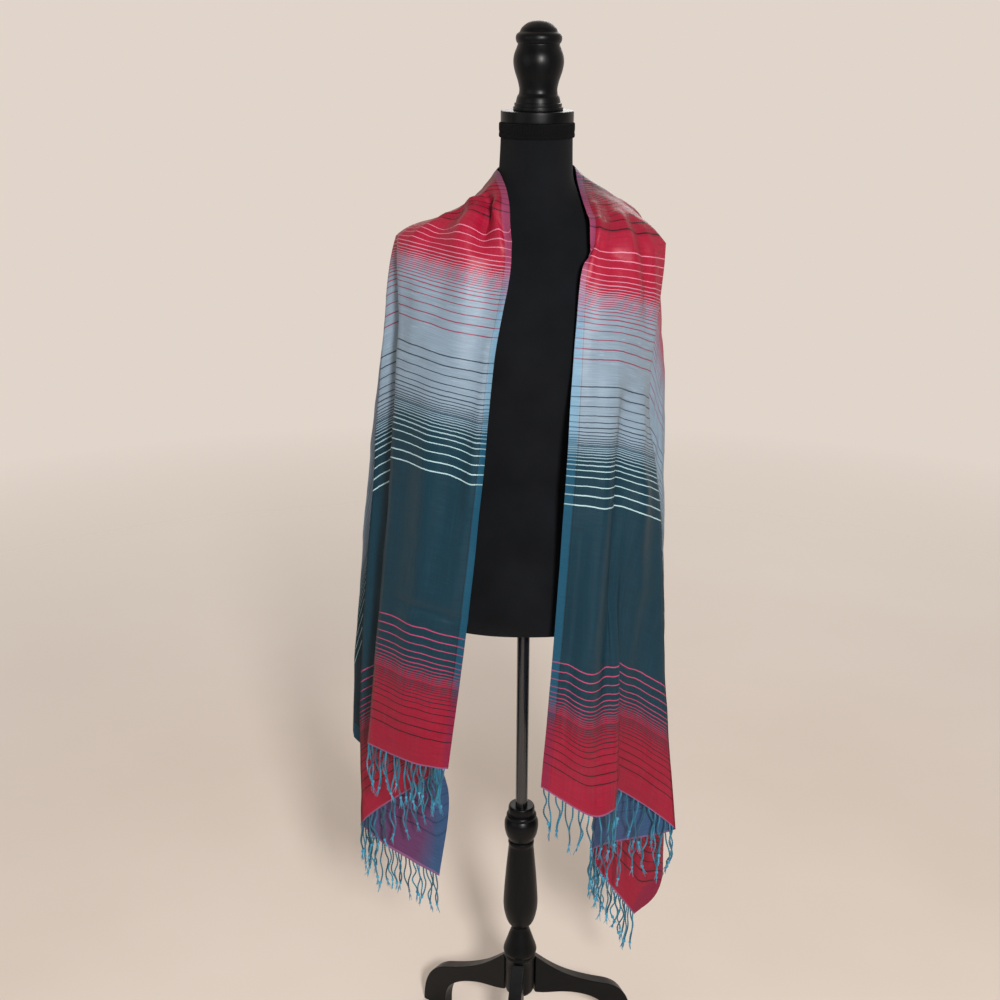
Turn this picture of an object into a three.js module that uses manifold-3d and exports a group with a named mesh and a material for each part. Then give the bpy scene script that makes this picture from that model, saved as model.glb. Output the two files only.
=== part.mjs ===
// A long fringed shawl laid round the neck of a limbless dress form, whose pole stands in a
// turned wooden base on three legs. Millimetres, +Z up, the form faces -Y, and "left" is the
// side with the smaller x. The table below is laid out from the pole's axis at the floor, and
// the whole object is moved at the end so that its origin is the bottom centre of its box.
import * as THREE from "three";
import { mergeVertices } from "three/addons/utils/BufferGeometryUtils.js";
import Module from "manifold-3d";

// ---- driving dimensions ----
const CLOTH = 1.5; // thickness of the shawl as a wall, with the loft of its weave
const SEAM = 0.3; // gap between neighbouring pieces
const ACROSS = 3; // facets between two fold lines
const DOWN = [2, 2, 4, 4, 4, 4, 4]; // facets between each level and the next
const CLEAR = 4.5; // middle of the cloth to the jersey where the cloth rests on it
const FRINGE_T = 2.2; // thickness of a twisted strand
const FRINGE_L = 78; // reach of the fringe
const FRINGE_DROP = 5; // hem to the top of the fringe's solid
const FRINGE_END = 4; // the fringe stops this short of a fold, where the next layer starts
const UNDER = 75; // below the form's bottom the cloth still hangs clear of its edge this far
const HIP_Z = 860; // widest line of the hip
const LEAN = THREE.MathUtils.degToRad(0.83); // the form leans a little to the right
const LEAN_Z = 800; // height where the lean starts
const POLE_R = 9.5; // steel pole
const FIT = 0.1; // radial clearance of the pole in its holes
const LEG_T = 21; // leg thickness
const LEG_ROOT = 23.8; // leg's inner end, from the pole's axis
const LEG_REACH = 206; // leg's outer end
const FOOT = 48; // length of the foot on the floor
const FIRST_LEG = -98.5; // direction of the front leg, degrees from +X
const ROUND = 32; // facets round a turned piece

// ---- the shawl's fold lines ----
// Each row is one line down the cloth, from the selvedge at the neck to the far selvedge or a
// short end, going round the form from the opening's left side, by the back, to its right side.
// crease 0 is a soft roll, 1 a sharp turn. tip is how sharply the line turns over the point of the
// shoulder, at the chest level.
const FOLDS = [
  { line: "left_opening", crease: 0, tip: 0, neck: [-25, -92, 1391], gather: [-24, -96, 1382], shoulder: [-23, -101, 1370], chest: [-26, -117, 1329], rib: [-45, -134, 1224], waist: [-60, -139, 1059], thigh: [-84, -138, 829], end: [-110, -136, 621] },
  { line: "left_tuck", crease: 0, tip: 0, neck: [-26, -77, 1418], gather: [-38, -70, 1417], shoulder: [-46, -68, 1409], chest: [-42, -104, 1351], rib: [-62, -124, 1223], waist: [-81, -132, 1060], thigh: [-107, -131, 832], end: [-131, -130, 619] },
  { line: "left_front", crease: 0, tip: 0.3, neck: [-30, -55, 1437], gather: [-49, -51, 1424], shoulder: [-67, -52, 1409], chest: [-93, -85, 1367], rib: [-108, -113, 1237], waist: [-123, -120, 1071], thigh: [-147, -118, 839], end: [-170, -112, 619] },
  { line: "left_edge", crease: 0.6, tip: 0.45, neck: [-36, -34, 1451], gather: [-69, -32, 1426], shoulder: [-118, -22, 1397], chest: [-173, -28, 1371], rib: [-175, -57, 1247], waist: [-188, -65, 1074], thigh: [-210, -70, 840], end: [-233, -70, 625] },
  { line: "left_pocket", crease: 0.3, tip: 0.45, neck: [-39, -22, 1456], gather: [-72, -16, 1422], shoulder: [-118, -6, 1396], chest: [-176, -8, 1368], rib: [-165, -32, 1232], waist: [-173, -35, 1042], thigh: [-161, -40, 773], end: [-129, -45, 568] },
  { line: "left_side", crease: 0.5, tip: 0.5, neck: [-42, -8, 1457], gather: [-76, -2, 1419], shoulder: [-116, 10, 1396], chest: [-181, 10, 1368], rib: [-200, -12, 1230], waist: [-221, -12, 1005], thigh: [-246, -10, 713], end: [-254, -8, 444] },
  { line: "left_corner", crease: 0.8, tip: 0.5, neck: [-46, 8, 1448], gather: [-78, 12, 1416], shoulder: [-114, 26, 1394], chest: [-183, 26, 1360], rib: [-186, 8, 1208], waist: [-192, 10, 952], thigh: [-171, 18, 668], end: [-133, 22, 326] },
  { line: "left_turn", crease: 0, tip: 0.5, neck: [-44, 22, 1452], gather: [-77, 27, 1412], shoulder: [-110, 43, 1392], chest: [-183, 43, 1351], rib: [-194, 26, 1201], waist: [-199, 30, 960], thigh: [-178, 42, 708], end: [-126, 48, 501] },
  { line: "left_lobe", crease: 0.2, tip: 0.3, neck: [-40, 33, 1456], gather: [-74, 42, 1409], shoulder: [-105, 60, 1389], chest: [-184, 56, 1333], rib: [-208, 42, 1193], waist: [-234, 46, 986], thigh: [-260, 52, 720], end: [-268, 55, 564] },
  { line: "left_flank", crease: 0, tip: 0, neck: [-33, 43, 1460], gather: [-62, 62, 1409], shoulder: [-104, 80, 1378], chest: [-160, 88, 1325], rib: [-196, 94, 1180], waist: [-214, 97, 990], thigh: [-222, 100, 800], end: [-226, 102, 700] },
  { line: "left_blade", crease: 0, tip: 0, neck: [-24, 50, 1464], gather: [-55, 73, 1432], shoulder: [-83, 93, 1400], chest: [-125, 107, 1330], rib: [-146, 120, 1180], waist: [-153, 127, 1020], thigh: [-158, 133, 880], end: [-162, 136, 795] },
  { line: "left_back", crease: 0, tip: 0, neck: [-8, 57, 1469], gather: [-25, 78, 1438], shoulder: [-40, 97, 1405], chest: [-60, 115, 1330], rib: [-66, 125, 1200], waist: [-69, 130, 1060], thigh: [-71, 135, 920], end: [-72, 139, 830] },
  { line: "centre_back", crease: 0, tip: 0, neck: [9, 59, 1470], gather: [11, 80, 1440], shoulder: [12, 99, 1408], chest: [12, 117, 1330], rib: [10, 127, 1200], waist: [8, 132, 1060], thigh: [6, 137, 920], end: [4, 141, 820] },
  { line: "right_back", crease: 0, tip: 0, neck: [25, 55, 1469], gather: [40, 77, 1438], shoulder: [55, 96, 1405], chest: [78, 114, 1330], rib: [82, 125, 1200], waist: [82, 130, 1060], thigh: [80, 135, 920], end: [80, 139, 820] },
  { line: "right_blade", crease: 0, tip: 0, neck: [42, 46, 1464], gather: [64, 71, 1433], shoulder: [86, 92, 1400], chest: [135, 107, 1325], rib: [150, 120, 1170], waist: [158, 127, 1000], thigh: [163, 133, 850], end: [166, 136, 765] },
  { line: "right_flank", crease: 0, tip: 0, neck: [60, 27, 1460], gather: [90, 54, 1428], shoulder: [118, 76, 1396], chest: [162, 84, 1325], rib: [186, 94, 1170], waist: [199, 98, 970], thigh: [207, 102, 740], end: [208, 104, 600] },
  { line: "right_side", crease: 0.3, tip: 0.4, neck: [63, 10, 1454], gather: [113, 24, 1424], shoulder: [155, 34, 1391], chest: [182, 34, 1301], rib: [197, 30, 1175], waist: [205, 36, 1004], thigh: [219, 42, 727], end: [236, 46, 315] },
  { line: "right_corner", crease: 0.8, tip: 0.6, neck: [64, -3, 1446], gather: [110, 7, 1422], shoulder: [149, 15, 1397], chest: [184, 14, 1343], rib: [183, 6, 1138], waist: [194, 12, 914], thigh: [200, 22, 607], end: [189, 28, 249] },
  { line: "right_pocket", crease: 0.4, tip: 0.75, neck: [66, -15, 1438], gather: [109, -8, 1419], shoulder: [146, -2, 1399], chest: [185, -4, 1359], rib: [158, -15, 1129], waist: [168, -12, 923], thigh: [126, -6, 648], end: [111, 0, 390] },
  { line: "right_edge", crease: 0.6, tip: 0.85, neck: [69, -28, 1429], gather: [108, -22, 1414], shoulder: [143, -18, 1399], chest: [185, -24, 1364], rib: [170, -45, 1153], waist: [193, -50, 975], thigh: [212, -48, 709], end: [238, -45, 461] },
  { line: "right_valley", crease: 0.5, tip: 0.5, neck: [73, -43, 1418], gather: [103, -40, 1408], shoulder: [129, -40, 1396], chest: [151, -62, 1352], rib: [131, -100, 1181], waist: [136, -96, 1012], thigh: [136, -82, 768], end: [145, -52, 537] },
  { line: "right_crease", crease: 0.4, tip: 0, neck: [76, -56, 1409], gather: [97, -55, 1402], shoulder: [114, -58, 1392], chest: [122, -86, 1344], rib: [118, -115, 1188], waist: [121, -116, 1020], thigh: [129, -112, 772], end: [138, -105, 534] },
  { line: "right_front", crease: 0, tip: 0, neck: [79, -72, 1399], gather: [89, -74, 1395], shoulder: [96, -78, 1387], chest: [93, -104, 1338], rib: [96, -127, 1192], waist: [96, -130, 1025], thigh: [95, -131, 775], end: [99, -130, 539] },
  { line: "right_opening", crease: 0, tip: 0, neck: [79, -88, 1367], gather: [79, -91, 1364], shoulder: [77, -96, 1358], chest: [66, -113, 1329], rib: [57, -136, 1195], waist: [50, -140, 1033], thigh: [38, -139, 797], end: [25, -137, 592] },
];
const LEVELS = ["neck", "gather", "shoulder", "chest", "rib", "waist", "thigh", "end"];

// Each row is one stretch of cloth that shows, between two fold lines.
const STRETCHES = [
  { name: "shawl_front_left", from: "left_opening", to: "left_edge" },
  { name: "shawl_side_left", from: "left_edge", to: "left_corner" },
  { name: "shawl_tail_left", from: "left_corner", to: "left_flank" },
  { name: "shawl_back", from: "left_flank", to: "right_flank" },
  { name: "shawl_tail_right", from: "right_flank", to: "right_corner" },
  { name: "shawl_side_right", from: "right_corner", to: "right_edge" },
  { name: "shawl_front_right", from: "right_edge", to: "right_opening" },
];
// The short ends run between these fold lines, and the fringe hangs from them.
const FRINGES = [
  { name: "fringe_front_left", from: "left_opening", to: "left_edge" },
  { name: "fringe_side_left", from: "left_edge", to: "left_corner" },
  { name: "fringe_side_right", from: "right_corner", to: "right_edge" },
  { name: "fringe_front_right", from: "right_edge", to: "right_opening" },
];

// ---- the form's level sections: height, half width, depth to the front and to the back, and
// the outline's power, where 2 is an ellipse and more is squarer ----
const FORM = [
  { z: 815, half: 145, front: 101, back: 105, power: 2.3 },
  { z: 818, half: 150, front: 106, back: 110, power: 2.3 },
  { z: 845, half: 162, front: 112, back: 122, power: 2.3 },
  { z: 900, half: 160, front: 110, back: 124, power: 2.3 },
  { z: 960, half: 146, front: 104, back: 110, power: 2.3 },
  { z: 1040, half: 122, front: 93, back: 86, power: 2.3 },
  { z: 1100, half: 127, front: 98, back: 84, power: 2.3 },
  { z: 1170, half: 144, front: 114, back: 92, power: 2.3 },
  { z: 1220, half: 152, front: 123, back: 98, power: 2.3 },
  { z: 1270, half: 156, front: 116, back: 104, power: 2.3 },
  { z: 1315, half: 164, front: 98, back: 107, power: 2.3 },
  { z: 1342, half: 169, front: 84, back: 103, power: 2.3 },
  { z: 1360, half: 158, front: 73, back: 96, power: 2.3 },
  { z: 1376, half: 136, front: 64, back: 86, power: 2.3 },
  { z: 1392, half: 106, front: 57, back: 76, power: 2.3 },
  { z: 1410, half: 76, front: 52, back: 66, power: 2.15 },
  { z: 1430, half: 57, front: 49, back: 57, power: 2.05 },
  { z: 1455, half: 49.6, front: 47.5, back: 49.6, power: 2 },
  { z: 1519, half: 47.3, front: 47, back: 47.3, power: 2 },
];
const SOCKET_UP = 60; // how far the pole goes up into the form

// ---- turned pieces: radius and height, from the bottom up ----
const TRIM = [
  { r: 48.8, z: 1500 }, { r: 49.6, z: 1500 }, { r: 50.3, z: 1503 }, { r: 49.9, z: 1509 },
  { r: 50.3, z: 1515 }, { r: 49.6, z: 1518.4 }, { r: 48.8, z: 1518.4 }, { r: 48.8, z: 1500 },
];
const PLATE = [
  { r: 0, z: 1519.3 }, { r: 47.4, z: 1519.3 }, { r: 48.4, z: 1520.3 }, { r: 48.4, z: 1532.7 },
  { r: 47.4, z: 1533.7 }, { r: 0, z: 1533.7 },
];
const FINIAL = [
  { r: 0, z: 1534 }, { r: 33, z: 1534 }, { r: 33, z: 1538.6 }, { r: 31.4, z: 1539 },
  { r: 31.4, z: 1543.4 }, { r: 29.6, z: 1544 }, { r: 28, z: 1551 }, { r: 25.2, z: 1557.5 },
  { r: 25.2, z: 1562 }, { r: 27.2, z: 1571 }, { r: 31.2, z: 1583 }, { r: 33.2, z: 1594 },
  { r: 32.2, z: 1604 }, { r: 29.2, z: 1612 }, { r: 27.6, z: 1616.4 }, { r: 29.2, z: 1619 },
  { r: 30.3, z: 1624 }, { r: 29, z: 1629.4 }, { r: 25.6, z: 1632 }, { r: 22.4, z: 1637 },
  { r: 15.6, z: 1642.5 }, { r: 8, z: 1645.3 }, { r: 0, z: 1646 },
];
const COLLAR = [
  { r: 17.5, z: 413 }, { r: 20.8, z: 416.5 }, { r: 24.6, z: 425 }, { r: 26.8, z: 437 },
  { r: 26.4, z: 447 }, { r: 23.8, z: 453 }, { r: 22.8, z: 455 }, { r: 23.6, z: 457 },
  { r: 22.6, z: 461 }, { r: 20, z: 463 }, { r: 20.8, z: 466 }, { r: 20.6, z: 472 },
  { r: 18.6, z: 476 },
];
const COLUMN = [
  { r: 0, z: 248.3 }, { r: 13.2, z: 248.3 }, { r: 16.5, z: 252 }, { r: 21.5, z: 260 },
  { r: 25.4, z: 273 }, { r: 27.8, z: 292 }, { r: 26.8, z: 318 }, { r: 24.6, z: 349 },
  { r: 21.8, z: 381 }, { r: 19.8, z: 403 }, { r: 20.6, z: 409 }, { r: 19.6, z: 412.7 },
  { r: 0, z: 412.7 },
];
const HUB = [
  { r: 0, z: 118 }, { r: 16, z: 118 }, { r: 22, z: 122 }, { r: 23.4, z: 128 },
  { r: 23.4, z: 187 }, { r: 25, z: 189 }, { r: 25.6, z: 193.4 }, { r: 24.8, z: 196.4 },
  { r: 27, z: 199.6 }, { r: 27.2, z: 204 }, { r: 25.6, z: 210 }, { r: 21.6, z: 222 },
  { r: 17.8, z: 234 }, { r: 14.4, z: 243 }, { r: 13.4, z: 248 }, { r: 0, z: 248 },
];

const wasm = await Module();
wasm.setup();

// ---- paints ----
const paint = (color, roughness, metalness = 0) =>
  new THREE.MeshStandardMaterial({ color, roughness, metalness });
const teal = () => paint(0x2c5a68, 0.55);
const red = () => paint(0xa12e46, 0.55);
const strand = () => paint(0x1f8aa3, 0.7);
const jersey = () => paint(0x0c0d0f, 0.95);
const wood = () => paint(0x121214, 0.35);

const group = new THREE.Group();
group.name = "shawl_on_form";
function add(name, geometry, material) {
  const mesh = new THREE.Mesh(geometry, material);
  mesh.name = name;
  group.add(mesh);
  return mesh;
}

// ---- sections between the form's rows, by a curve through them ----
function curveThrough(rows, steps) {
  const out = [];
  for (let i = 0; i + 1 < rows.length; i++) {
    const [a, b, c, d] = [rows[i - 1] ?? rows[i], rows[i], rows[i + 1], rows[i + 2] ?? rows[i + 1]];
    // slopes against height, limited so that the curve never overshoots its rows
    const slope = (p, q, key) => (q[key] - p[key]) / Math.max(q.z - p.z, 1e-9);
    const at = (p, q, r, key) => {
      const s = slope(p, q, key), t = slope(q, r, key);
      return p === q || q === r ? (p === q ? t : s) : s * t <= 0 ? 0 : (2 * s * t) / (s + t);
    };
    for (let k = 0; k < steps; k++) {
      const t = k / steps, h = c.z - b.z, row = { z: b.z + t * h };
      for (const key of ["half", "front", "back", "power"]) {
        const m0 = at(a, b, c, key) * h, m1 = at(b, c, d, key) * h;
        row[key] =
          b[key] * (1 + t * t * (2 * t - 3)) + c[key] * t * t * (3 - 2 * t) +
          m0 * t * (1 - t) ** 2 + m1 * t * t * (t - 1);
      }
      out.push(row);
    }
  }
  out.push(rows[rows.length - 1]);
  return out;
}
const SECTIONS = curveThrough(FORM, 2);
function sectionAt(z) {
  let i = 0;
  while (i + 2 < SECTIONS.length && SECTIONS[i + 1].z < z) i++;
  const a = SECTIONS[i], b = SECTIONS[i + 1];
  const t = Math.min(1, Math.max(0, (z - a.z) / (b.z - a.z)));
  const mix = (key) => a[key] + t * (b[key] - a[key]);
  return { half: mix("half"), front: mix("front"), back: mix("back"), power: mix("power") };
}
const leanAt = (z) => Math.sin(LEAN) * (z - LEAN_Z);
// moves a point that is nearer the form's skin than the clearance straight out from its middle;
// below the widest line of the hip the cloth hangs straight down past the form's bottom
function offTheForm(p, clear) {
  if (p.z < FORM[0].z - UNDER || p.z > FORM[FORM.length - 1].z) return p;
  const s = sectionAt(Math.max(p.z, HIP_Z)), x = p.x - leanAt(p.z);
  const a = s.half + clear, b = (p.y < 0 ? s.front : s.back) + clear;
  const v = (Math.abs(x / a) ** s.power + Math.abs(p.y / b) ** s.power) ** (1 / s.power);
  if (v >= 1 || v < 1e-6) return p;
  return new THREE.Vector3(x / v + leanAt(p.z), p.y / v, p.z);
}

// ---- a closed solid from a grid of points: grid[ring][step], ring closed on itself ----
function lofted(rings) {
  const n = rings[0].length, points = rings.flat(), faces = [];
  for (let i = 0; i + 1 < rings.length; i++)
    for (let j = 0; j < n; j++) {
      const a = i * n + j, b = i * n + ((j + 1) % n), c = a + n, d = b + n;
      faces.push(a, b, d, a, d, c);
    }
  const cap = (ring, flip) => {
    const mid = ring.reduce((s, p) => s.add(p), new THREE.Vector3()).divideScalar(n);
    const m = points.push(mid) - 1;
    const base = flip ? 0 : (rings.length - 1) * n;
    for (let j = 0; j < n; j++) {
      const a = base + j, b = base + ((j + 1) % n);
      flip ? faces.push(m, b, a) : faces.push(m, a, b);
    }
  };
  cap(rings[0], true);
  cap(rings[rings.length - 1], false);
  return indexed(points, faces);
}
function indexed(points, faces) {
  const g = new THREE.BufferGeometry();
  g.setAttribute("position", new THREE.Float32BufferAttribute(points.flatMap((p) => [p.x, p.y, p.z]), 3));
  g.setIndex(faces);
  return g;
}

// ---- the shawl's middle surface: a grid of points, [across][down] ----
// a span of a curve through points, whose ends turn more sharply where a crease is given
function span(p0, p1, p2, p3, c1, c2, t) {
  const chord = p2.clone().sub(p1);
  const m1 = p2.clone().sub(p0).multiplyScalar(0.5).lerp(chord, c1);
  const m2 = p3.clone().sub(p1).multiplyScalar(0.5).lerp(chord, c2);
  return p1.clone().multiplyScalar(1 + t * t * (2 * t - 3))
    .addScaledVector(p2, t * t * (3 - 2 * t))
    .addScaledVector(m1, t * (1 - t) ** 2)
    .addScaledVector(m2, t * t * (t - 1));
}
function smooth(points, creases, steps) {
  const out = [];
  const before = (i) => points[i - 1] ?? points[i].clone().multiplyScalar(2).sub(points[i + 1]);
  const after = (i) => points[i + 1] ?? points[i].clone().multiplyScalar(2).sub(points[i - 1]);
  for (let i = 0; i + 1 < points.length; i++) {
    const n = steps[i] ?? steps;
    for (let k = 0; k < n; k++)
      out.push(span(before(i), points[i], points[i + 1], after(i + 1), creases[i], creases[i + 1], k / n));
  }
  out.push(points[points.length - 1].clone());
  return out;
}
const lines = FOLDS.map((f) => smooth(
  LEVELS.map((l) => new THREE.Vector3(...f[l])), LEVELS.map((l) => (l === "chest" ? f.tip : 0)), DOWN));
const CREASES = FOLDS.map((f) => f.crease);
const rowsDown = lines[0].length;
const sheet = [];
for (let j = 0; j < rowsDown; j++) {
  const across = smooth(lines.map((l) => l[j]), CREASES, ACROSS);
  across.forEach((p, i) => {
    (sheet[i] ??= [])[j] = offTheForm(p, CLEAR);
  });
}
const sheetAt = (i, j) => sheet[Math.min(sheet.length - 1, Math.max(0, i))][Math.min(rowsDown - 1, Math.max(0, j))];
const downDir = (i, j) => sheetAt(i, j + 1).clone().sub(sheetAt(i, j - 1)).normalize();
// square to the line down the cloth, and halfway between the facets on either side, so that a
// turn is mitred
const acrossDir = (i, j) => {
  const p = sheetAt(i, j), down = downDir(i, j);
  const square = (v) => v.addScaledVector(down, -v.dot(down)).normalize();
  return square(p.clone().sub(sheetAt(i - 1, j))).add(square(sheetAt(i + 1, j).clone().sub(p))).normalize();
};
const normalAt = (i, j) => acrossDir(i, j).cross(downDir(i, j)).normalize();
const foldIndex = (line) => FOLDS.findIndex((f) => f.line === line);

// a wall of cloth between two fold lines, short of them by half a seam, and more at a sharp turn
function stretch({ from, to }) {
  const i0 = foldIndex(from) * ACROSS, i1 = foldIndex(to) * ACROSS;
  const wide = i1 - i0 + 1, points = [], faces = [];
  for (const side of [1, -1])
    for (let i = i0; i <= i1; i++)
      for (let j = 0; j < rowsDown; j++) {
        const p = sheetAt(i, j).clone();
        const gap = (SEAM / 2) * (1 + 2 * CREASES[i / ACROSS]);
        if (i === i0 && i0 > 0) p.addScaledVector(acrossDir(i, j), gap);
        if (i === i1 && i1 < sheet.length - 1) p.addScaledVector(acrossDir(i, j), -gap);
        points.push(p.addScaledVector(normalAt(i, j), (side * CLOTH) / 2));
      }
  const id = (side, i, j) => side * wide * rowsDown + i * rowsDown + j;
  const quad = (a, b, c, d) => faces.push(a, b, c, a, c, d);
  for (let i = 0; i + 1 < wide; i++) {
    for (let j = 0; j + 1 < rowsDown; j++) {
      quad(id(0, i, j), id(0, i, j + 1), id(0, i + 1, j + 1), id(0, i + 1, j));
      quad(id(1, i, j), id(1, i + 1, j), id(1, i + 1, j + 1), id(1, i, j + 1));
    }
    quad(id(0, i, 0), id(0, i + 1, 0), id(1, i + 1, 0), id(1, i, 0));
    quad(id(0, i, rowsDown - 1), id(1, i, rowsDown - 1), id(1, i + 1, rowsDown - 1), id(0, i + 1, rowsDown - 1));
  }
  for (let j = 0; j + 1 < rowsDown; j++) {
    quad(id(0, 0, j), id(1, 0, j), id(1, 0, j + 1), id(0, 0, j + 1));
    quad(id(0, wide - 1, j), id(0, wide - 1, j + 1), id(1, wide - 1, j + 1), id(1, wide - 1, j));
  }
  return facingOut(indexed(points, faces));
}
// turns a closed shape whose faces point inwards
function facingOut(g) {
  const p = g.getAttribute("position"), ix = g.index.array;
  const at = (k) => new THREE.Vector3().fromBufferAttribute(p, ix[k]);
  let six = 0;
  for (let k = 0; k < ix.length; k += 3) six += at(k).dot(at(k + 1).cross(at(k + 2)));
  if (six < 0) for (let k = 0; k < ix.length; k += 3) [ix[k + 1], ix[k + 2]] = [ix[k + 2], ix[k + 1]];
  return g;
}
for (const s of STRETCHES)
  add(s.name, stretch(s), s.name.startsWith("shawl_back") ? red() : teal());

// ---- the fringe: a plain wall of its reach, hung straight down from the short end ----
function fringe({ from, to }) {
  const i0 = foldIndex(from) * ACROSS, i1 = foldIndex(to) * ACROSS, j = rowsDown - 1;
  const points = [], faces = [], wide = i1 - i0 + 1;
  for (const side of [1, -1])
    for (let i = i0; i <= i1; i++)
      for (const drop of [FRINGE_DROP, FRINGE_DROP + FRINGE_L]) {
        const p = sheetAt(i, j).clone();
        const along = acrossDir(i, j).setZ(0).normalize();
        if (i === i0 && i0 > 0) p.addScaledVector(along, FRINGE_END);
        if (i === i1 && i1 < sheet.length - 1) p.addScaledVector(along, -FRINGE_END);
        const out = new THREE.Vector3(along.y, -along.x, 0);
        points.push(p.addScaledVector(out, (-side * FRINGE_T) / 2).setZ(p.z - drop));
      }
  const id = (side, i, k) => side * wide * 2 + i * 2 + k;
  const quad = (a, b, c, d) => faces.push(a, b, c, a, c, d);
  for (let i = 0; i + 1 < wide; i++) {
    quad(id(0, i, 0), id(0, i, 1), id(0, i + 1, 1), id(0, i + 1, 0));
    quad(id(1, i, 0), id(1, i + 1, 0), id(1, i + 1, 1), id(1, i, 1));
    quad(id(0, i, 0), id(0, i + 1, 0), id(1, i + 1, 0), id(1, i, 0));
    quad(id(0, i, 1), id(1, i, 1), id(1, i + 1, 1), id(0, i + 1, 1));
  }
  quad(id(0, 0, 0), id(1, 0, 0), id(1, 0, 1), id(0, 0, 1));
  quad(id(0, wide - 1, 0), id(0, wide - 1, 1), id(1, wide - 1, 1), id(1, wide - 1, 0));
  return facingOut(indexed(points, faces));
}
for (const f of FRINGES) add(f.name, fringe(f), strand());

// ---- the form ----
const rings = SECTIONS.map(({ z, half, front, back, power }) =>
  Array.from({ length: ROUND }, (_, k) => {
    const w = (k / ROUND) * 2 * Math.PI, c = Math.cos(w), s = Math.sin(w);
    const depth = s < 0 ? front : back;
    return new THREE.Vector3(
      leanAt(z) + Math.sign(c) * half * Math.abs(c) ** (2 / power),
      Math.sign(s) * depth * Math.abs(s) ** (2 / power), z);
  }));
const solid = (geometry) => {
  const bare = new THREE.BufferGeometry();
  bare.setAttribute("position", geometry.getAttribute("position"));
  if (geometry.index) bare.setIndex(geometry.index);
  const merged = mergeVertices(bare, 1e-4);
  return new wasm.Manifold(new wasm.Mesh({
    numProp: 3,
    vertProperties: new Float32Array(merged.getAttribute("position").array),
    triVerts: new Uint32Array(merged.index.array),
  }));
};
const surface = (made) => {
  const m = made.getMesh(), g = new THREE.BufferGeometry();
  g.setAttribute("position", new THREE.Float32BufferAttribute(m.vertProperties, 3));
  g.setIndex(Array.from(m.triVerts));
  return g;
};
const turned = (profile, x = 0) =>
  facingOut(mergeVertices(bareOf(new THREE.LatheGeometry(profile.map(({ r, z }) => new THREE.Vector2(r, z)), ROUND)
    .rotateX(Math.PI / 2).translate(x, 0, 0)), 1e-4));
function bareOf(g) {
  const b = new THREE.BufferGeometry();
  b.setAttribute("position", g.getAttribute("position"));
  if (g.index) b.setIndex(g.index);
  return b;
}
const bar = (r, z0, z1, x = 0) => turned([{ r: 0, z: z0 }, { r, z: z0 }, { r, z: z1 }, { r: 0, z: z1 }], x);
const torso = solid(facingOut(lofted(rings)));
const socket = solid(bar(POLE_R + FIT, FORM[0].z - 5, FORM[0].z + SOCKET_UP));
add("form_torso", surface(torso.subtract(socket)), jersey());
add("neck_trim", turned(TRIM, leanAt(1506)), paint(0x17181a, 0.85));
add("neck_plate", turned(PLATE, leanAt(1526)), wood());
add("finial", turned(FINIAL, leanAt(1590)), wood());

// ---- pole, turned column and hub ----
add("pole", bar(POLE_R, 414, FORM[0].z + SOCKET_UP - SEAM), paint(0x1a1b1e, 0.3, 0.8));
const hole = { r: POLE_R + FIT };
add("collar", turned([{ ...hole, z: COLLAR[0].z }, ...COLLAR, { ...hole, z: COLLAR[COLLAR.length - 1].z }, { ...hole, z: COLLAR[0].z }]), wood());
add("column", turned(COLUMN), wood());
add("hub", turned(HUB), wood());

// ---- legs: an arched board whose foot comes straight down to the floor ----
const legShape = new THREE.Shape();
legShape.moveTo(LEG_ROOT, 186);
legShape.bezierCurveTo(34, 176, 58, 150, 84, 132);
legShape.bezierCurveTo(104, 118, 130, 104, 152, 94);
legShape.bezierCurveTo(180, 82, LEG_REACH, 60, LEG_REACH, 0);
legShape.lineTo(LEG_REACH - FOOT, 0);
legShape.bezierCurveTo(LEG_REACH - FOOT, 30, LEG_REACH - FOOT, 52, 130, 72);
legShape.bezierCurveTo(112, 86, 84, 98, 60, 103);
legShape.bezierCurveTo(46, 106, 34, 109, LEG_ROOT, 114);
legShape.closePath();
const legBoard = new THREE.ExtrudeGeometry(legShape, {
  depth: LEG_T - 3, bevelEnabled: true, bevelThickness: 1.5, bevelSize: 1.5, bevelOffset: -1.5, bevelSegments: 1, curveSegments: 7,
});
legBoard.rotateX(Math.PI / 2).translate(0, (LEG_T - 3) / 2, 0);
["leg_front", "leg_right", "leg_left"].forEach((name, i) => {
  const g = bareOf(legBoard.clone().rotateZ(THREE.MathUtils.degToRad(FIRST_LEG + 120 * i)));
  add(name, facingOut(mergeVertices(g, 1e-4)), wood());
});

// ---- origin: bottom centre of the whole object's box ----
const box = new THREE.Box3().setFromObject(group);
const mid = box.getCenter(new THREE.Vector3());
for (const mesh of group.children) mesh.geometry.translate(-mid.x, -mid.y, -box.min.z);

export default group;
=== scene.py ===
"""A long fringed shawl with graded cross stripes, laid round the neck of a black jersey dress
form that stands on a turned wooden base. Metres, +Z up, the form faces -Y."""
import math

import bmesh
import bpy
import numpy as np
from mathutils import Euler, Matrix, Vector


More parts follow.
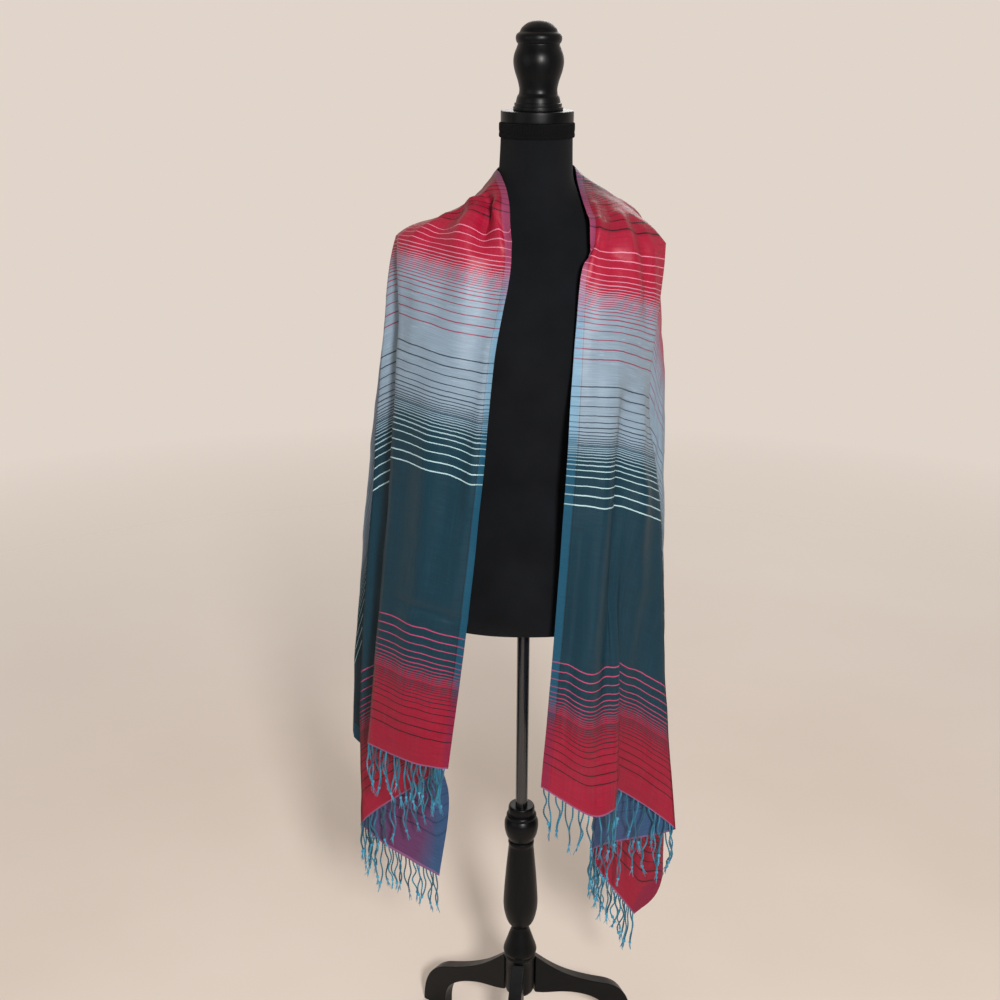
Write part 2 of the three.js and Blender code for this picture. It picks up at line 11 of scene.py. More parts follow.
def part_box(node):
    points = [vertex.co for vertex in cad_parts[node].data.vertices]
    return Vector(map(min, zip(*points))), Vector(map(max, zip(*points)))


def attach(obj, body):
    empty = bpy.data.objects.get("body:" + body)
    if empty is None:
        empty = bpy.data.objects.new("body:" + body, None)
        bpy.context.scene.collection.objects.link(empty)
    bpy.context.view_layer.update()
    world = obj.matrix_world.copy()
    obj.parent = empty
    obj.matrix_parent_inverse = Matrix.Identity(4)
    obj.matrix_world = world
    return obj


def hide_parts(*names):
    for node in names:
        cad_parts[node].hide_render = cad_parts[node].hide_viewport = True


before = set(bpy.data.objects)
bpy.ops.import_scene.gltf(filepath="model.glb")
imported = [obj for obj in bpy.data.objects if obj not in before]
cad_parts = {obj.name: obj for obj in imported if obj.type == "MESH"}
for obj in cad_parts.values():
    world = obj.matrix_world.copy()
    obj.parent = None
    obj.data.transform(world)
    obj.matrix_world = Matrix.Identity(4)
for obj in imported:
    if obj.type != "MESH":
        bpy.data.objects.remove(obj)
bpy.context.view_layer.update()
pole_low, pole_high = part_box("pole")
AXIS = np.array([(pole_low.x + pole_high.x) / 2, (pole_low.y + pole_high.y) / 2, 0.0])
MM = 0.001
rng = np.random.default_rng(7)

# ---------------------------------------------------------------- the cloth
# One row for each line down the cloth, from the selvedge at the neck to the far selvedge or a
# short end. crease 0 is a soft roll, 1 a sharp turn; tip is how sharply the line turns over the
# point of the shoulder, at the chest. At each level: x, y, z from the pole's axis, then s, the
# place along the cloth from its middle, and v, the place across it, all in mm.
#    line, crease, tip, neck, gather, shoulder, chest, rib, waist, thigh, end
FOLDS = [
    ("left_opening", 0, 0, (-25, -92, 1391, -214, 0), (-24, -96, 1382, -221, 0), (-23, -101, 1370, -232, 0), (-26, -117, 1329, -278, 0), (-45, -134, 1224, -393, 0), (-60, -139, 1059, -558, 0), (-84, -138, 829, -792, 0), (-110, -136, 621, -1000, 0)),
    ("left_tuck", 0, 0, (-26, -77, 1418, -174, 0), (-38, -70, 1417, -178, 15), (-46, -68, 1409, -190, 26), (-42, -104, 1351, -255, 26), (-62, -124, 1223, -393, 30), (-81, -132, 1060, -558, 30), (-107, -131, 832, -792, 28), (-131, -130, 619, -1000, 28)),
    ("left_front", 0, 0.3, (-30, -55, 1437, -132, 0), (-49, -51, 1424, -155, 32), (-67, -52, 1409, -180, 58), (-93, -85, 1367, -245, 70), (-108, -113, 1237, -385, 75), (-123, -120, 1071, -558, 74), (-147, -118, 839, -792, 70), (-170, -112, 619, -1000, 70)),
    ("left_edge", 0.6, 0.45, (-36, -34, 1451, -106, 0), (-69, -32, 1426, -141, 55), (-118, -22, 1397, -178, 110), (-173, -28, 1371, -251, 148), (-175, -57, 1247, -385, 150), (-188, -65, 1074, -558, 147), (-210, -70, 840, -792, 143), (-233, -70, 625, -1000, 140)),
    ("left_pocket", 0.3, 0.45, (-39, -22, 1456, -95, 0), (-72, -16, 1422, -135, 62), (-118, -6, 1396, -176, 118), (-176, -8, 1368, -250, 164), (-165, -32, 1232, -385, 175), (-173, -35, 1042, -558, 200), (-161, -40, 773, -792, 235), (-129, -45, 568, -1000, 270)),
    ("left_side", 0.5, 0.5, (-42, -8, 1457, -80, 0), (-76, -2, 1419, -127, 70), (-116, 10, 1396, -172, 127), (-181, 10, 1368, -247, 175), (-200, -12, 1230, -368, 215), (-221, -12, 1005, -558, 270), (-246, -10, 713, -792, 340), (-254, -8, 444, -1000, 440)),
    ("left_corner", 0.8, 0.5, (-46, 8, 1448, -65, 0), (-78, 12, 1416, -118, 76), (-114, 26, 1394, -166, 136), (-183, 26, 1360, -244, 190), (-186, 8, 1208, -360, 250), (-192, 10, 952, -600, 370), (-171, 18, 668, -810, 500), (-133, 22, 326, -1000, 660)),
    ("left_turn", 0, 0.5, (-44, 22, 1452, -56, 0), (-77, 27, 1412, -110, 82), (-110, 43, 1392, -160, 145), (-183, 43, 1351, -240, 200), (-194, 26, 1201, -340, 290), (-199, 30, 960, -540, 430), (-178, 42, 708, -720, 570), (-126, 48, 501, -880, 660)),
    ("left_lobe", 0.2, 0.3, (-40, 33, 1456, -48, 0), (-74, 42, 1409, -102, 84), (-105, 60, 1389, -150, 150), (-184, 56, 1333, -236, 215), (-208, 42, 1193, -290, 330), (-234, 46, 986, -385, 460), (-260, 52, 720, -545, 590), (-268, 55, 564, -625, 660)),
    ("left_flank", 0, 0, (-33, 43, 1460, -45, 0), (-62, 62, 1409, -92, 64), (-104, 80, 1378, -138, 125), (-160, 88, 1325, -200, 210), (-196, 94, 1180, -255, 340), (-214, 97, 990, -330, 470), (-222, 100, 800, -435, 600), (-226, 102, 700, -485, 660)),
    ("left_blade", 0, 0, (-24, 50, 1464, -33, 0), (-55, 73, 1432, -71, 48), (-83, 93, 1400, -105, 95), (-125, 107, 1330, -150, 180), (-146, 120, 1180, -180, 330), (-153, 127, 1020, -220, 460), (-158, 133, 880, -265, 590), (-162, 136, 795, -290, 660)),
    ("left_back", 0, 0, (-8, 57, 1469, -15, 0), (-25, 78, 1438, -37, 39), (-40, 97, 1405, -55, 78), (-60, 115, 1330, -70, 155), (-66, 125, 1200, -75, 290), (-69, 130, 1060, -80, 420), (-71, 135, 920, -85, 560), (-72, 139, 830, -90, 660)),
    ("centre_back", 0, 0, (9, 59, 1470, 0, 0), (11, 80, 1440, 0, 36), (12, 99, 1408, 0, 72), (12, 117, 1330, 0, 150), (10, 127, 1200, 0, 280), (8, 132, 1060, 0, 420), (6, 137, 920, 0, 560), (4, 141, 820, 0, 660)),
    ("right_back", 0, 0, (25, 55, 1469, 15, 0), (40, 77, 1438, 37, 39), (55, 96, 1405, 55, 78), (78, 114, 1330, 70, 155), (82, 125, 1200, 75, 290), (82, 130, 1060, 80, 420), (80, 135, 920, 85, 560), (80, 139, 820, 95, 660)),
    ("right_blade", 0, 0, (42, 46, 1464, 35, 0), (64, 71, 1433, 72, 48), (86, 92, 1400, 105, 95), (135, 107, 1325, 140, 180), (150, 120, 1170, 170, 320), (158, 127, 1000, 220, 460), (163, 133, 850, 280, 590), (166, 136, 765, 310, 660)),
    ("right_flank", 0, 0, (60, 27, 1460, 47, 0), (90, 54, 1428, 91, 62), (118, 76, 1396, 131, 120), (162, 84, 1325, 190, 205), (186, 94, 1170, 240, 330), (199, 98, 970, 340, 460), (207, 102, 740, 490, 590), (208, 104, 600, 580, 660)),
    ("right_side", 0.3, 0.4, (63, 10, 1454, 49, 0), (113, 24, 1424, 93, 69), (155, 34, 1391, 142, 130), (182, 34, 1301, 222, 195), (197, 30, 1175, 270, 310), (205, 36, 1004, 393, 420), (219, 42, 727, 600, 540), (236, 46, 315, 945, 660)),
    ("right_corner", 0.8, 0.6, (64, -3, 1446, 64, 0), (110, 7, 1422, 105, 64), (149, 15, 1397, 149, 120), (184, 14, 1343, 208, 178), (183, 6, 1138, 350, 250), (194, 12, 914, 540, 360), (200, 22, 607, 770, 490), (189, 28, 249, 1000, 660)),
    ("right_pocket", 0.4, 0.75, (66, -15, 1438, 78, 0), (109, -8, 1419, 115, 60), (146, -2, 1399, 154, 112), (185, -4, 1359, 198, 162), (158, -15, 1129, 400, 210), (168, -12, 923, 580, 260), (126, -6, 648, 800, 340), (111, 0, 390, 1000, 430)),
    ("right_edge", 0.6, 0.85, (69, -28, 1429, 92, 0), (108, -22, 1414, 124, 56), (143, -18, 1399, 158, 105), (185, -24, 1364, 194, 148), (170, -45, 1153, 393, 155), (193, -50, 975, 558, 178), (212, -48, 709, 792, 235), (238, -45, 461, 1000, 290)),
    ("right_valley", 0.5, 0.5, (73, -43, 1418, 120, 0), (103, -40, 1408, 143, 44), (129, -40, 1396, 168, 80), (151, -62, 1352, 215, 98), (131, -100, 1181, 393, 85), (136, -96, 1012, 558, 105), (136, -82, 768, 792, 140), (145, -52, 537, 1000, 185)),
    ("right_crease", 0.4, 0, (76, -56, 1409, 152, 0), (97, -55, 1402, 164, 30), (114, -58, 1392, 179, 55), (122, -86, 1344, 232, 66), (118, -115, 1188, 393, 65), (121, -116, 1020, 558, 75), (129, -112, 772, 792, 100), (138, -105, 534, 1000, 125)),
    ("right_front", 0, 0, (79, -72, 1399, 178, 0), (89, -74, 1395, 180, 16), (96, -78, 1387, 188, 30), (93, -104, 1338, 244, 40), (96, -127, 1192, 393, 43), (96, -130, 1025, 558, 47), (95, -131, 775, 792, 62), (99, -130, 539, 1000, 80)),
    ("right_opening", 0, 0, (79, -88, 1367, 214, 0), (79, -91, 1364, 217, 0), (77, -96, 1358, 223, 0), (66, -113, 1329, 262, 0), (57, -136, 1195, 393, 0), (50, -140, 1033, 558, 0), (38, -139, 797, 792, 0), (25, -137, 592, 1000, 0)),
]
LINE = {row[0]: k for k, row in enumerate(FOLDS)}
HALF = 1000.0  # half the cloth's length
WIDE = 660.0  # its width
THICK = 0.9  # of the cloth as drawn
STEPS_DOWN = (12, 12, 24, 32, 38, 42, 44)  # between one level and the next
STEPS_ACROSS = [11] * 9 + [8] * 6 + [11] * 8  # between one fold line and the next

# Soft troughs (depth below 0) and ridges, from one place on the cloth to another.
#    s0, v0, s1, v1: mm on the cloth; wide and deep: mm
CREASES = [
    # the gathers at the left of the neck: a deep hollow between two ridges
    (-142, 40, -240, 46, 9, -14),
    (-146, 20, -232, 22, 8, 7),
    (-150, 62, -246, 74, 10, 9),
    (-160, 84, -285, 118, 11, -6),
    (-172, 104, -300, 140, 8, 5),
    (-205, 58, -330, 60, 9, 4),
    (-225, 82, -360, 96, 12, -4),
    (-240, 30, -420, 46, 13, -3),
    (-250, 118, -420, 128, 9, 3),
    # down the left front panel
    (-390, 96, -640, 88, 16, 3),
    (-430, 50, -700, 58, 18, -5),
    (-360, 22, -760, 26, 11, 4),
    (-500, 84, -930, 80, 13, 4),
    (-560, 120, -800, 112, 14, -2.5),
    (-640, 34, -905, 40, 15, 2.5),
    (-770, 92, -985, 88, 14, 2.5),
    # a pressed cross fold where the solid dark band ends
    (-762, 2, -766, 118, 7, -4),
    # the left layers behind
    (-420, 172, -640, 196, 12, 4),
    (-520, 250, -820, 300, 16, -4),
    (-600, 380, -860, 430, 18, 5),
    (-500, 470, -760, 560, 16, -4),
    (-380, 300, -560, 420, 14, 4),
    # the back
    (-150, 150, -60, 360, 20, -5),
    (-110, 260, -40, 560, 24, 6),
    (-20, 170, -10, 520, 22, -5),
    (60, 120, 30, 420, 18, 6),
    (120, 150, 70, 500, 22, -6),
    (165, 200, 130, 600, 18, 5),
    (-170, 260, -150, 600, 18, 5),
    (-60, 60, 60, 66, 12, -4),
    (-80, 100, 70, 112, 13, 4),
    # the right shoulder and the gathers at its neck
    (120, 22, 250, 20, 8, 4),
    (130, 46, 260, 58, 10, -4),
    (150, 70, 290, 96, 10, 4),
    (168, 92, 300, 122, 9, -4),
    (206, 20, 232, 92, 8, -4),
    (180, 110, 320, 146, 8, 3),
    # down the right front panel
    (330, 24, 520, 22, 14, 3),
    (390, 54, 930, 54, 15, 9),
    (410, 90, 970, 92, 17, -13),
    (380, 124, 640, 130, 13, 8),
    (520, 136, 900, 164, 13, 8),
    (560, 106, 840, 114, 5, 3),
    (600, 26, 900, 28, 9, -6),
    (690, 150, 930, 214, 15, -4),
    (720, 100, 960, 132, 12, 5),
    (770, 20, 960, 26, 15, -3),
    (800, 196, 985, 252, 13, 4),
    # the right layers behind
    (420, 240, 640, 300, 14, -4),
    (480, 330, 760, 400, 16, 5),
    (600, 420, 860, 520, 16, -4),
    (330, 300, 500, 420, 14, 4),
    (700, 330, 980, 380, 14, 4),
    (820, 520, 985, 610, 14, -4),
]


def hermite(rows, creases, steps):
    """Curves through rows along axis 0, turning more sharply where a crease is given."""
    first = 2 * rows[:1] - rows[1:2]
    last = 2 * rows[-1:] - rows[-2:-1]
    p = np.concatenate([first, rows, last])
    out = []
    for i in range(len(rows) - 1):
        p0, p1, p2, p3 = p[i], p[i + 1], p[i + 2], p[i + 3]
        chord = p2 - p1
        m1 = (p2 - p0) * 0.5 * (1 - creases[i]) + chord * creases[i]
        m2 = (p3 - p1) * 0.5 * (1 - creases[i + 1]) + chord * creases[i + 1]
        for k in range(steps[i]):
            t = k / steps[i]
            out.append(
                p1 * (1 + t * t * (2 * t - 3))
                + p2 * (t * t * (3 - 2 * t))
                + m1 * (t * (1 - t) ** 2)
                + m2 * (t * t * (t - 1))
            )
    out.append(rows[-1])
    return np.array(out)


def bell(x):
    return np.exp(-x * x)


# ---------------------------------------------------------------- the form's skin
# height, half width, depth to the front, depth to the back, power of the outline; mm
FORM = [
    (815, 144, 100, 104, 2.3), (817.5, 149, 105, 109, 2.3), (845, 162, 112, 122, 2.3),
    (900, 160, 110, 124, 2.3), (960, 146, 104, 110, 2.3), (1040, 122, 93, 86, 2.3),
    (1100, 127, 98, 84, 2.3), (1170, 144, 114, 92, 2.3), (1220, 152, 123, 98, 2.3),
    (1270, 156, 116, 104, 2.3), (1315, 164, 98, 107, 2.3), (1342, 169, 84, 103, 2.3),
    (1360, 158, 73, 96, 2.3), (1376, 136, 64, 86, 2.3), (1392, 106, 57, 76, 2.3),
    (1410, 76, 52, 66, 2.15), (1430, 57, 49, 57, 2.05), (1455, 49.6, 47.5, 49.6, 2.0),
    (1519, 47.3, 47, 47.3, 2.0),
]
LEAN = math.radians(0.83)


def lean(z):
    return math.sin(LEAN) * (z - 800)


def monotone(table, z):
    """Smooth curves through a table's columns against its first one, with no overshoot."""
    t = np.array(table, float)
    h = np.diff(t[:, 0])
    out = []
    for k in range(1, t.shape[1]):
        d = np.diff(t[:, k]) / h
        m = np.zeros(len(t))
        m[0], m[-1] = d[0], d[-1]
        for i in range(1, len(t) - 1):
            m[i] = 0 if d[i - 1] * d[i] <= 0 else 2 * d[i - 1] * d[i] / (d[i - 1] + d[i])
        i = np.clip(np.searchsorted(t[:, 0], z, side="right") - 1, 0, len(h) - 1)
        u = (np.clip(z, t[0, 0], t[-1, 0]) - t[i, 0]) / h[i]
        a, b = t[i, k], t[i + 1, k]
        out.append(
            a * (1 + u * u * (2 * u - 3)) + b * u * u * (3 - 2 * u)
            + m[i] * h[i] * u * (1 - u) ** 2 + m[i + 1] * h[i] * u * u * (u - 1)
        )
    return out


def off_the_form(p, clear):
    """Moves the points that are nearer the form's skin than clear straight out from its middle."""
    z = p[..., 2]
    half, front, back, power = monotone(FORM, np.maximum(z, 860.0))
    x = p[..., 0] - lean(z)
    a = half + clear
    b = np.where(p[..., 1] < 0, front, back) + clear
    v = (np.abs(x / a) ** power + np.abs(p[..., 1] / b) ** power) ** (1 / power)
    inside = (v < 1) & (v > 1e-6) & (z > 740) & (z < 1519)
    w = np.where(inside, v, 1.0)
    out = p.copy()
    out[..., 0] = x / w + lean(z)
    out[..., 1] = p[..., 1] / w
    return out


# ---------------------------------------------------------------- mesh helpers
def make_object(name, points, faces, materials, slots=None, smooth=True, uv=None, normals=None):
    mesh = bpy.data.meshes.new(name)
    mesh.from_pydata((np.asarray(points) * MM + AXIS).tolist(), [], [tuple(map(int, f)) for f in faces])
    for m in materials:
        mesh.materials.append(m)
    mesh.polygons.foreach_set("use_smooth", np.full(len(mesh.polygons), smooth))
    if slots is not None:
        mesh.polygons.foreach_set("material_index", np.asarray(slots, np.int32))
    if uv is not None:
        layer = mesh.uv_layers.new(name="cloth")
        loops = np.zeros(len(mesh.loops), np.int32)
        mesh.loops.foreach_get("vertex_index", loops)
        layer.data.foreach_set("uv", np.asarray(uv, np.float32)[loops].ravel())
    mesh.update()
    if normals is not None:
        mesh.normals_split_custom_set(normals)
    obj = bpy.data.objects.new(name, mesh)
    bpy.context.scene.collection.objects.link(obj)
    return obj


def ring_faces(rings, ring, close=True, caps=True):
    """Quads over a stack of rings, with a fan at each end."""
    faces = []
    for i in range(rings - 1):
        for j in range(ring if close else ring - 1):
            a, b = i * ring + j, i * ring + (j + 1) % ring
            faces.append((a, b, b + ring, a + ring))
    if caps:
        faces.append(tuple(reversed(range(ring))))
        faces.append(tuple(range((rings - 1) * ring, rings * ring)))
    return faces


def turned(name, profile, material, x=0.0, around=96, fine=3, bore=False, ripple=None):
    """A turned piece from its (radius, height) profile, mm, bottom up; curves run through the
    points, except that a step between two points stays straight."""
    p = np.array(profile, float)
    n = len(p)
    closed = bore
    out = []
    for i in range(n if closed else n - 1):
        a, b = p[i], p[(i + 1) % n]
        before, after = p[(i - 1) % n if closed else max(i - 1, 0)], p[(i + 2) % n if closed else min(i + 2, n - 1)]
        out.append(a)
        chord = b - a

        def turn(u, w):
            lu, lw = np.linalg.norm(u), np.linalg.norm(w)
            return 0.0 if lu < 1e-6 or lw < 1e-6 else float(u @ w / lu / lw)

        soft_a, soft_b = turn(a - before, chord) > 0.6, turn(chord, after - b) > 0.6
        if not (soft_a or soft_b):
            continue
        m1 = (b - before) * 0.5 if soft_a else chord
        m2 = (after - a) * 0.5 if soft_b else chord
        # slopes no longer than the chord, so that a short piece doesn't bulge
        for m in (m1, m2):
            m *= min(1.0, 1.2 * np.linalg.norm(chord) / max(np.linalg.norm(m), 1e-9))
        for k in range(1, fine + 1):
            t = k / (fine + 1)
            out.append(a * (1 + t * t * (2 * t - 3)) + b * t * t * (3 - 2 * t)
                       + m1 * t * (1 - t) ** 2 + m2 * t * t * (t - 1))
    if not closed:
        out.append(p[-1])
    out = np.array(out)
    w = np.arange(around) / around * 2 * math.pi
    r = np.repeat(out[:, :1], around, 1)
    if ripple is not None:
        r = r + ripple(w[None, :], out[:, 1][:, None], out[:, 0][:, None])
    pts = np.stack([r * np.cos(w) + x, r * np.sin(w), np.repeat(out[:, 1:], around, 1)], -1)
    m = len(out)
    faces = []
    for i in range(m if closed else m - 1):
        for j in range(around):
            a, b = i * around + j, i * around + (j + 1) % around
            c, d = ((i + 1) % m) * around + (j + 1) % around, ((i + 1) % m) * around + j
            faces.append((a, b, c, d))
    obj = make_object(name, pts.reshape(-1, 3), faces, [material])
    bm = bmesh.new()
    bm.from_mesh(obj.data)
    bmesh.ops.remove_doubles(bm, verts=bm.verts, dist=1e-6)
    bmesh.ops.recalc_face_normals(bm, faces=bm.faces)
    bm.to_mesh(obj.data)
    bm.free()
    obj.data.polygons.foreach_set("use_smooth", np.full(len(obj.data.polygons), True))
    obj.data.set_sharp_from_angle(angle=math.radians(38))
    return obj


# ---------------------------------------------------------------- material helpers
def linear(r, g, b):
    def one(c):
        c /= 255
        return c / 12.92 if c <= 0.04045 else ((c + 0.055) / 1.055) ** 2.4
    return (one(r), one(g), one(b), 1.0)


class Tree:
    """A material's nodes, made in short steps."""

    def __init__(self, name, **principled):
        self.mat = bpy.data.materials.new(name)
        self.mat.use_nodes = True
        self.nodes, self.links = self.mat.node_tree.nodes, self.mat.node_tree.links
        self.nodes.clear()
        self.out = self.nodes.new("ShaderNodeOutputMaterial")
        self.bsdf = self.nodes.new("ShaderNodeBsdfPrincipled")
        self.links.new(self.bsdf.outputs[0], self.out.inputs[0])
        for key, value in principled.items():
            self.bsdf.inputs[key.replace("_", " ")].default_value = value

    def put(self, socket, value):
        if isinstance(value, bpy.types.NodeSocket):
            self.links.new(value, socket)
        elif value is not None:
            socket.default_value = value

    def math(self, op, a, b=None, c=None, clamp=False):
        n = self.nodes.new("ShaderNodeMath")
        n.operation, n.use_clamp = op, clamp
        for k, value in enumerate((a, b, c)):
            self.put(n.inputs[k], value)
        return n.outputs[0]

    def ramp(self, at, stops, how="LINEAR"):
        n = self.nodes.new("ShaderNodeValToRGB")
        n.color_ramp.interpolation = how
        e = n.color_ramp.elements
        while len(e) < len(stops):
            e.new(1.0)
        for k, (pos, color) in enumerate(stops):
            e[k].position = pos
            e[k].color = color if hasattr(color, "__len__") else (color, color, color, 1)
        self.put(n.inputs[0], at)
        return n.outputs[0]

    def mix(self, share, a, b, how="MIX"):
        n = self.nodes.new("ShaderNodeMix")
        n.data_type, n.blend_type = "RGBA", how
        self.put(n.inputs[0], share)
        self.put(n.inputs[6], a)
        self.put(n.inputs[7], b)
        return n.outputs[2]

    def noise(self, vector, scale, detail=2.0, rough=0.5, out=0):
        n = self.nodes.new("ShaderNodeTexNoise")
        self.put(n.inputs["Vector"], vector)
        n.inputs["Scale"].default_value = scale
        n.inputs["Detail"].default_value = detail
        n.inputs["Roughness"].default_value = rough
        return n.outputs[out]

    def vector(self, x, y, z=0.0):
        n = self.nodes.new("ShaderNodeCombineXYZ")
        for k, value in enumerate((x, y, z)):
            self.put(n.inputs[k], value)
        return n.outputs[0]

    def split(self, vector):
        n = self.nodes.new("ShaderNodeSeparateXYZ")
        self.put(n.inputs[0], vector)
        return n.outputs

    def uv(self):
        n = self.nodes.new("ShaderNodeUVMap")
        n.uv_map = "cloth"
        return n.outputs[0]

    def place(self):
        return self.nodes.new("ShaderNodeTexCoord").outputs["Object"]

    def bump(self, height, strength, distance, normal=None):
        n = self.nodes.new("ShaderNodeBump")
        n.inputs["Strength"].default_value = strength
        n.inputs["Distance"].default_value = distance
        self.put(n.inputs["Height"], height)
        self.put(n.inputs["Normal"], normal)
        return n.outputs[0]

    def to(self, socket, value):
        self.put(self.bsdf.inputs[socket], value)


# ---------------------------------------------------------------- the cloth's colours
# Each row is one place where two bands meet, mm from the short end: thin lines of one band's
# colour cross into the other, ever wider apart, over this reach on each side.
#    meets, reach below, reach above
MEETS = [(128, 84, 80), (526, 84, 81), (720, 77, 66), (905, 89, 95)]
REACH = 84.0
LINE_AT = (1.6, 4.4, 7.6, 11.2, 15.3, 20.2, 26.3, 34.0, 43.4, 56.4, 70.0, 84.0)  # lines from a meeting, at full reach
LINE_WIDE = (1.1, 1.3, 1.45, 1.5, 1.55, 1.6, 1.6, 1.6, 1.6, 1.6, 1.6, 1.6)
#    from, band, line over it, the band it blends into where they meet; each colour in 0-255
BANDS = [
    (0, (138, 10, 42), (16, 4, 14), (12, 40, 54)),
    (128, (4, 44, 58), (180, 64, 106), (158, 14, 50)),
    (327, (4, 44, 58), (172, 202, 208), (118, 142, 160)),
    (526, (124, 142, 158), (14, 34, 48), (12, 42, 56)),
    (623, (124, 142, 158), (128, 24, 60), (150, 40, 72)),
    (720, (150, 16, 46), (208, 126, 150), (122, 140, 158)),
    (810, (136, 10, 40), (14, 4, 14), (24, 12, 26)),
    (905, (14, 14, 26), (170, 64, 98), (120, 12, 42)),
]
REVERSE_BANDS = [
    (0, (94, 32, 76), (36, 22, 54), (24, 60, 84)),
    (128, (18, 62, 84), (90, 70, 106), (94, 32, 76)),
    (327, (18, 62, 84), (104, 148, 166), (84, 122, 150)),
    (526, (84, 122, 150), (30, 58, 82), (30, 66, 90)),
    (623, (84, 122, 150), (96, 56, 98), (98, 50, 90)),
    (720, (98, 36, 80), (130, 106, 138), (90, 110, 140)),
    (810, (94, 34, 76), (34, 22, 52), (40, 34, 60)),
    (905, (24, 52, 76), (92, 68, 104), (90, 40, 80)),
]
#    from and to, selvedge colour, how far it hides the band
SELVEDGE = [
    ((0, 100), (100, 22, 62), 0.45), ((140, 512), (8, 68, 92), 1.0), ((545, 680), (98, 144, 172), 0.7),
    ((745, 880), (128, 60, 94), 0.75), ((930, 1000), (80, 60, 94), 0.8),
]
WARP_BLUE = (32, 84, 122)


def cloth_material(name, bands, selvedge_mm, shot):
    t = Tree(name, Roughness=0.32, Specular_IOR_Level=0.3)
    s, v, _ = t.split(t.uv())
    sm, vm = t.math("MULTIPLY", s, 1000.0), t.math("MULTIPLY", v, 1000.0)
    # the weft isn't dead straight
    wander = t.noise(t.vector(t.math("MULTIPLY", s, 14.0), t.math("MULTIPLY", v, 22.0)), 1.0, 2.0)
    ripple = t.math("MULTIPLY", t.math("SUBTRACT", wander, 0.5), 3.0)
    fine = t.noise(t.vector(t.math("MULTIPLY", s, 40.0), t.math("MULTIPLY", v, 160.0)), 1.0, 1.0)
    ripple = t.math("ADD", ripple, t.math("MULTIPLY", t.math("SUBTRACT", fine, 0.5), 0.7))
    h = t.math("ADD", t.math("SUBTRACT", HALF, t.math("ABSOLUTE", sm)), ripple)
    near = None
    for meets, below, above in MEETS:
        d = t.math("SUBTRACT", h, float(meets))
        f = t.math("MAXIMUM", t.math("MULTIPLY", d, REACH / above), t.math("MULTIPLY", d, -REACH / below))
        near = f if near is None else t.math("MINIMUM", near, f)
    stops = [(0.0, 0.0)]
    for at, wide in zip(LINE_AT, LINE_WIDE):
        stops += [((at - wide / 2) / 90, 1.0), ((at + wide / 2) / 90, 0.0)]
    line = t.ramp(t.math("DIVIDE", near, 90.0, clamp=True), stops, "CONSTANT")
    at = t.math("DIVIDE", h, HALF, clamp=True)
    band = t.ramp(at, [(b[0] / HALF, linear(*b[1])) for b in bands], "CONSTANT")
    over = t.ramp(at, [(b[0] / HALF, linear(*b[2])) for b in bands], "CONSTANT")
    # where two bands meet the picks alternate, and the eye mixes them
    other = t.ramp(at, [(b[0] / HALF, linear(*b[3])) for b in bands], "CONSTANT")
    close = t.math("DIVIDE", near, 90.0, clamp=True)
    over = t.mix(t.ramp(close, [(0.0, 0.95), (0.2, 0.6), (0.5, 0.0)]), over, other)
    band = t.mix(t.ramp(close, [(0.0, 0.12), (0.2, 0.0)]), band, other)
    # slubs and dye: long along the weft, short along the warp
    slub = t.noise(t.vector(t.math("MULTIPLY", s, 950.0), t.math("MULTIPLY", v, 26.0)), 1.0, 2.0)
    thick = t.noise(t.vector(t.math("MULTIPLY", s, 420.0), t.math("MULTIPLY", v, 60.0)), 1.0, 1.0)
    warp = t.noise(t.vector(t.math("MULTIPLY", s, 12.0), t.math("MULTIPLY", v, 620.0)), 1.0, 2.0)
    cloud = t.noise(t.vector(t.math("MULTIPLY", s, 7.0), t.math("MULTIPLY", v, 9.0)), 1.0, 3.0)
    color = t.mix(t.math("MULTIPLY", line, 0.9), band, over)
    shade = t.math("ADD", t.math("MULTIPLY", slub, 0.72), t.math("MULTIPLY", cloud, 0.26))
    shade = t.math("ADD", t.math("ADD", shade, t.math("MULTIPLY", warp, 0.05)), 0.485)
    # single picks that ran thick
    pick = t.ramp(thick, [(0.66, 0.0), (0.74, 1.0)])
    shade = t.math("ADD", shade, t.math("MULTIPLY", pick, 0.22))
    edge = t.math("MINIMUM", vm, t.math("SUBTRACT", WIDE, vm))
    edge = t.math("ADD", edge, t.math("MULTIPLY", t.math("SUBTRACT", wander, 0.5), 0.8))
    if shot:
        # the blue warp floats on the reverse, more in some stretches of the width than in others
        across = t.math("DIVIDE", vm, WIDE, clamp=True)
        float_ = t.ramp(across, [(0.0, 0.9), (0.60, 0.86), (0.71, 0.62), (0.80, 0.12), (0.90, 0.2), (0.965, 0.92)])
        float_ = t.math("MULTIPLY", float_, t.math("ADD", t.math("MULTIPLY", cloud, 0.5), 0.7), clamp=True)
        color = t.mix(float_, color, t.mix(t.math("MULTIPLY", line, 0.35), linear(*WARP_BLUE), over))
    else:
        color = t.mix(t.math("MULTIPLY", t.math("SUBTRACT", warp, 0.45, clamp=True), 0.2), color, linear(30, 100, 126))
        # selvedge: blue warp only, with a thin dark line inside
        strip = t.ramp(at, [(m / HALF, linear(*b[1])) for b in SELVEDGE for m in b[0]])
        cover = t.ramp(at, [(m / HALF, b[2]) for b in SELVEDGE for m in b[0]])
        strip = t.mix(t.math("MULTIPLY", line, 0.55), strip, over)
        inside = t.math("DIVIDE", t.math("SUBTRACT", selvedge_mm, edge), 1.6, clamp=True)
        color = t.mix(t.math("MULTIPLY", inside, cover), color, strip)
        groove = t.math("SUBTRACT", 1.0, t.math("DIVIDE", t.math("ABSOLUTE", t.math("SUBTRACT", edge, selvedge_mm + 1.0)), 1.0, clamp=True))
        color = t.mix(t.math("MULTIPLY", t.math("MULTIPLY", groove, cover), 0.55), color, linear(14, 18, 30))
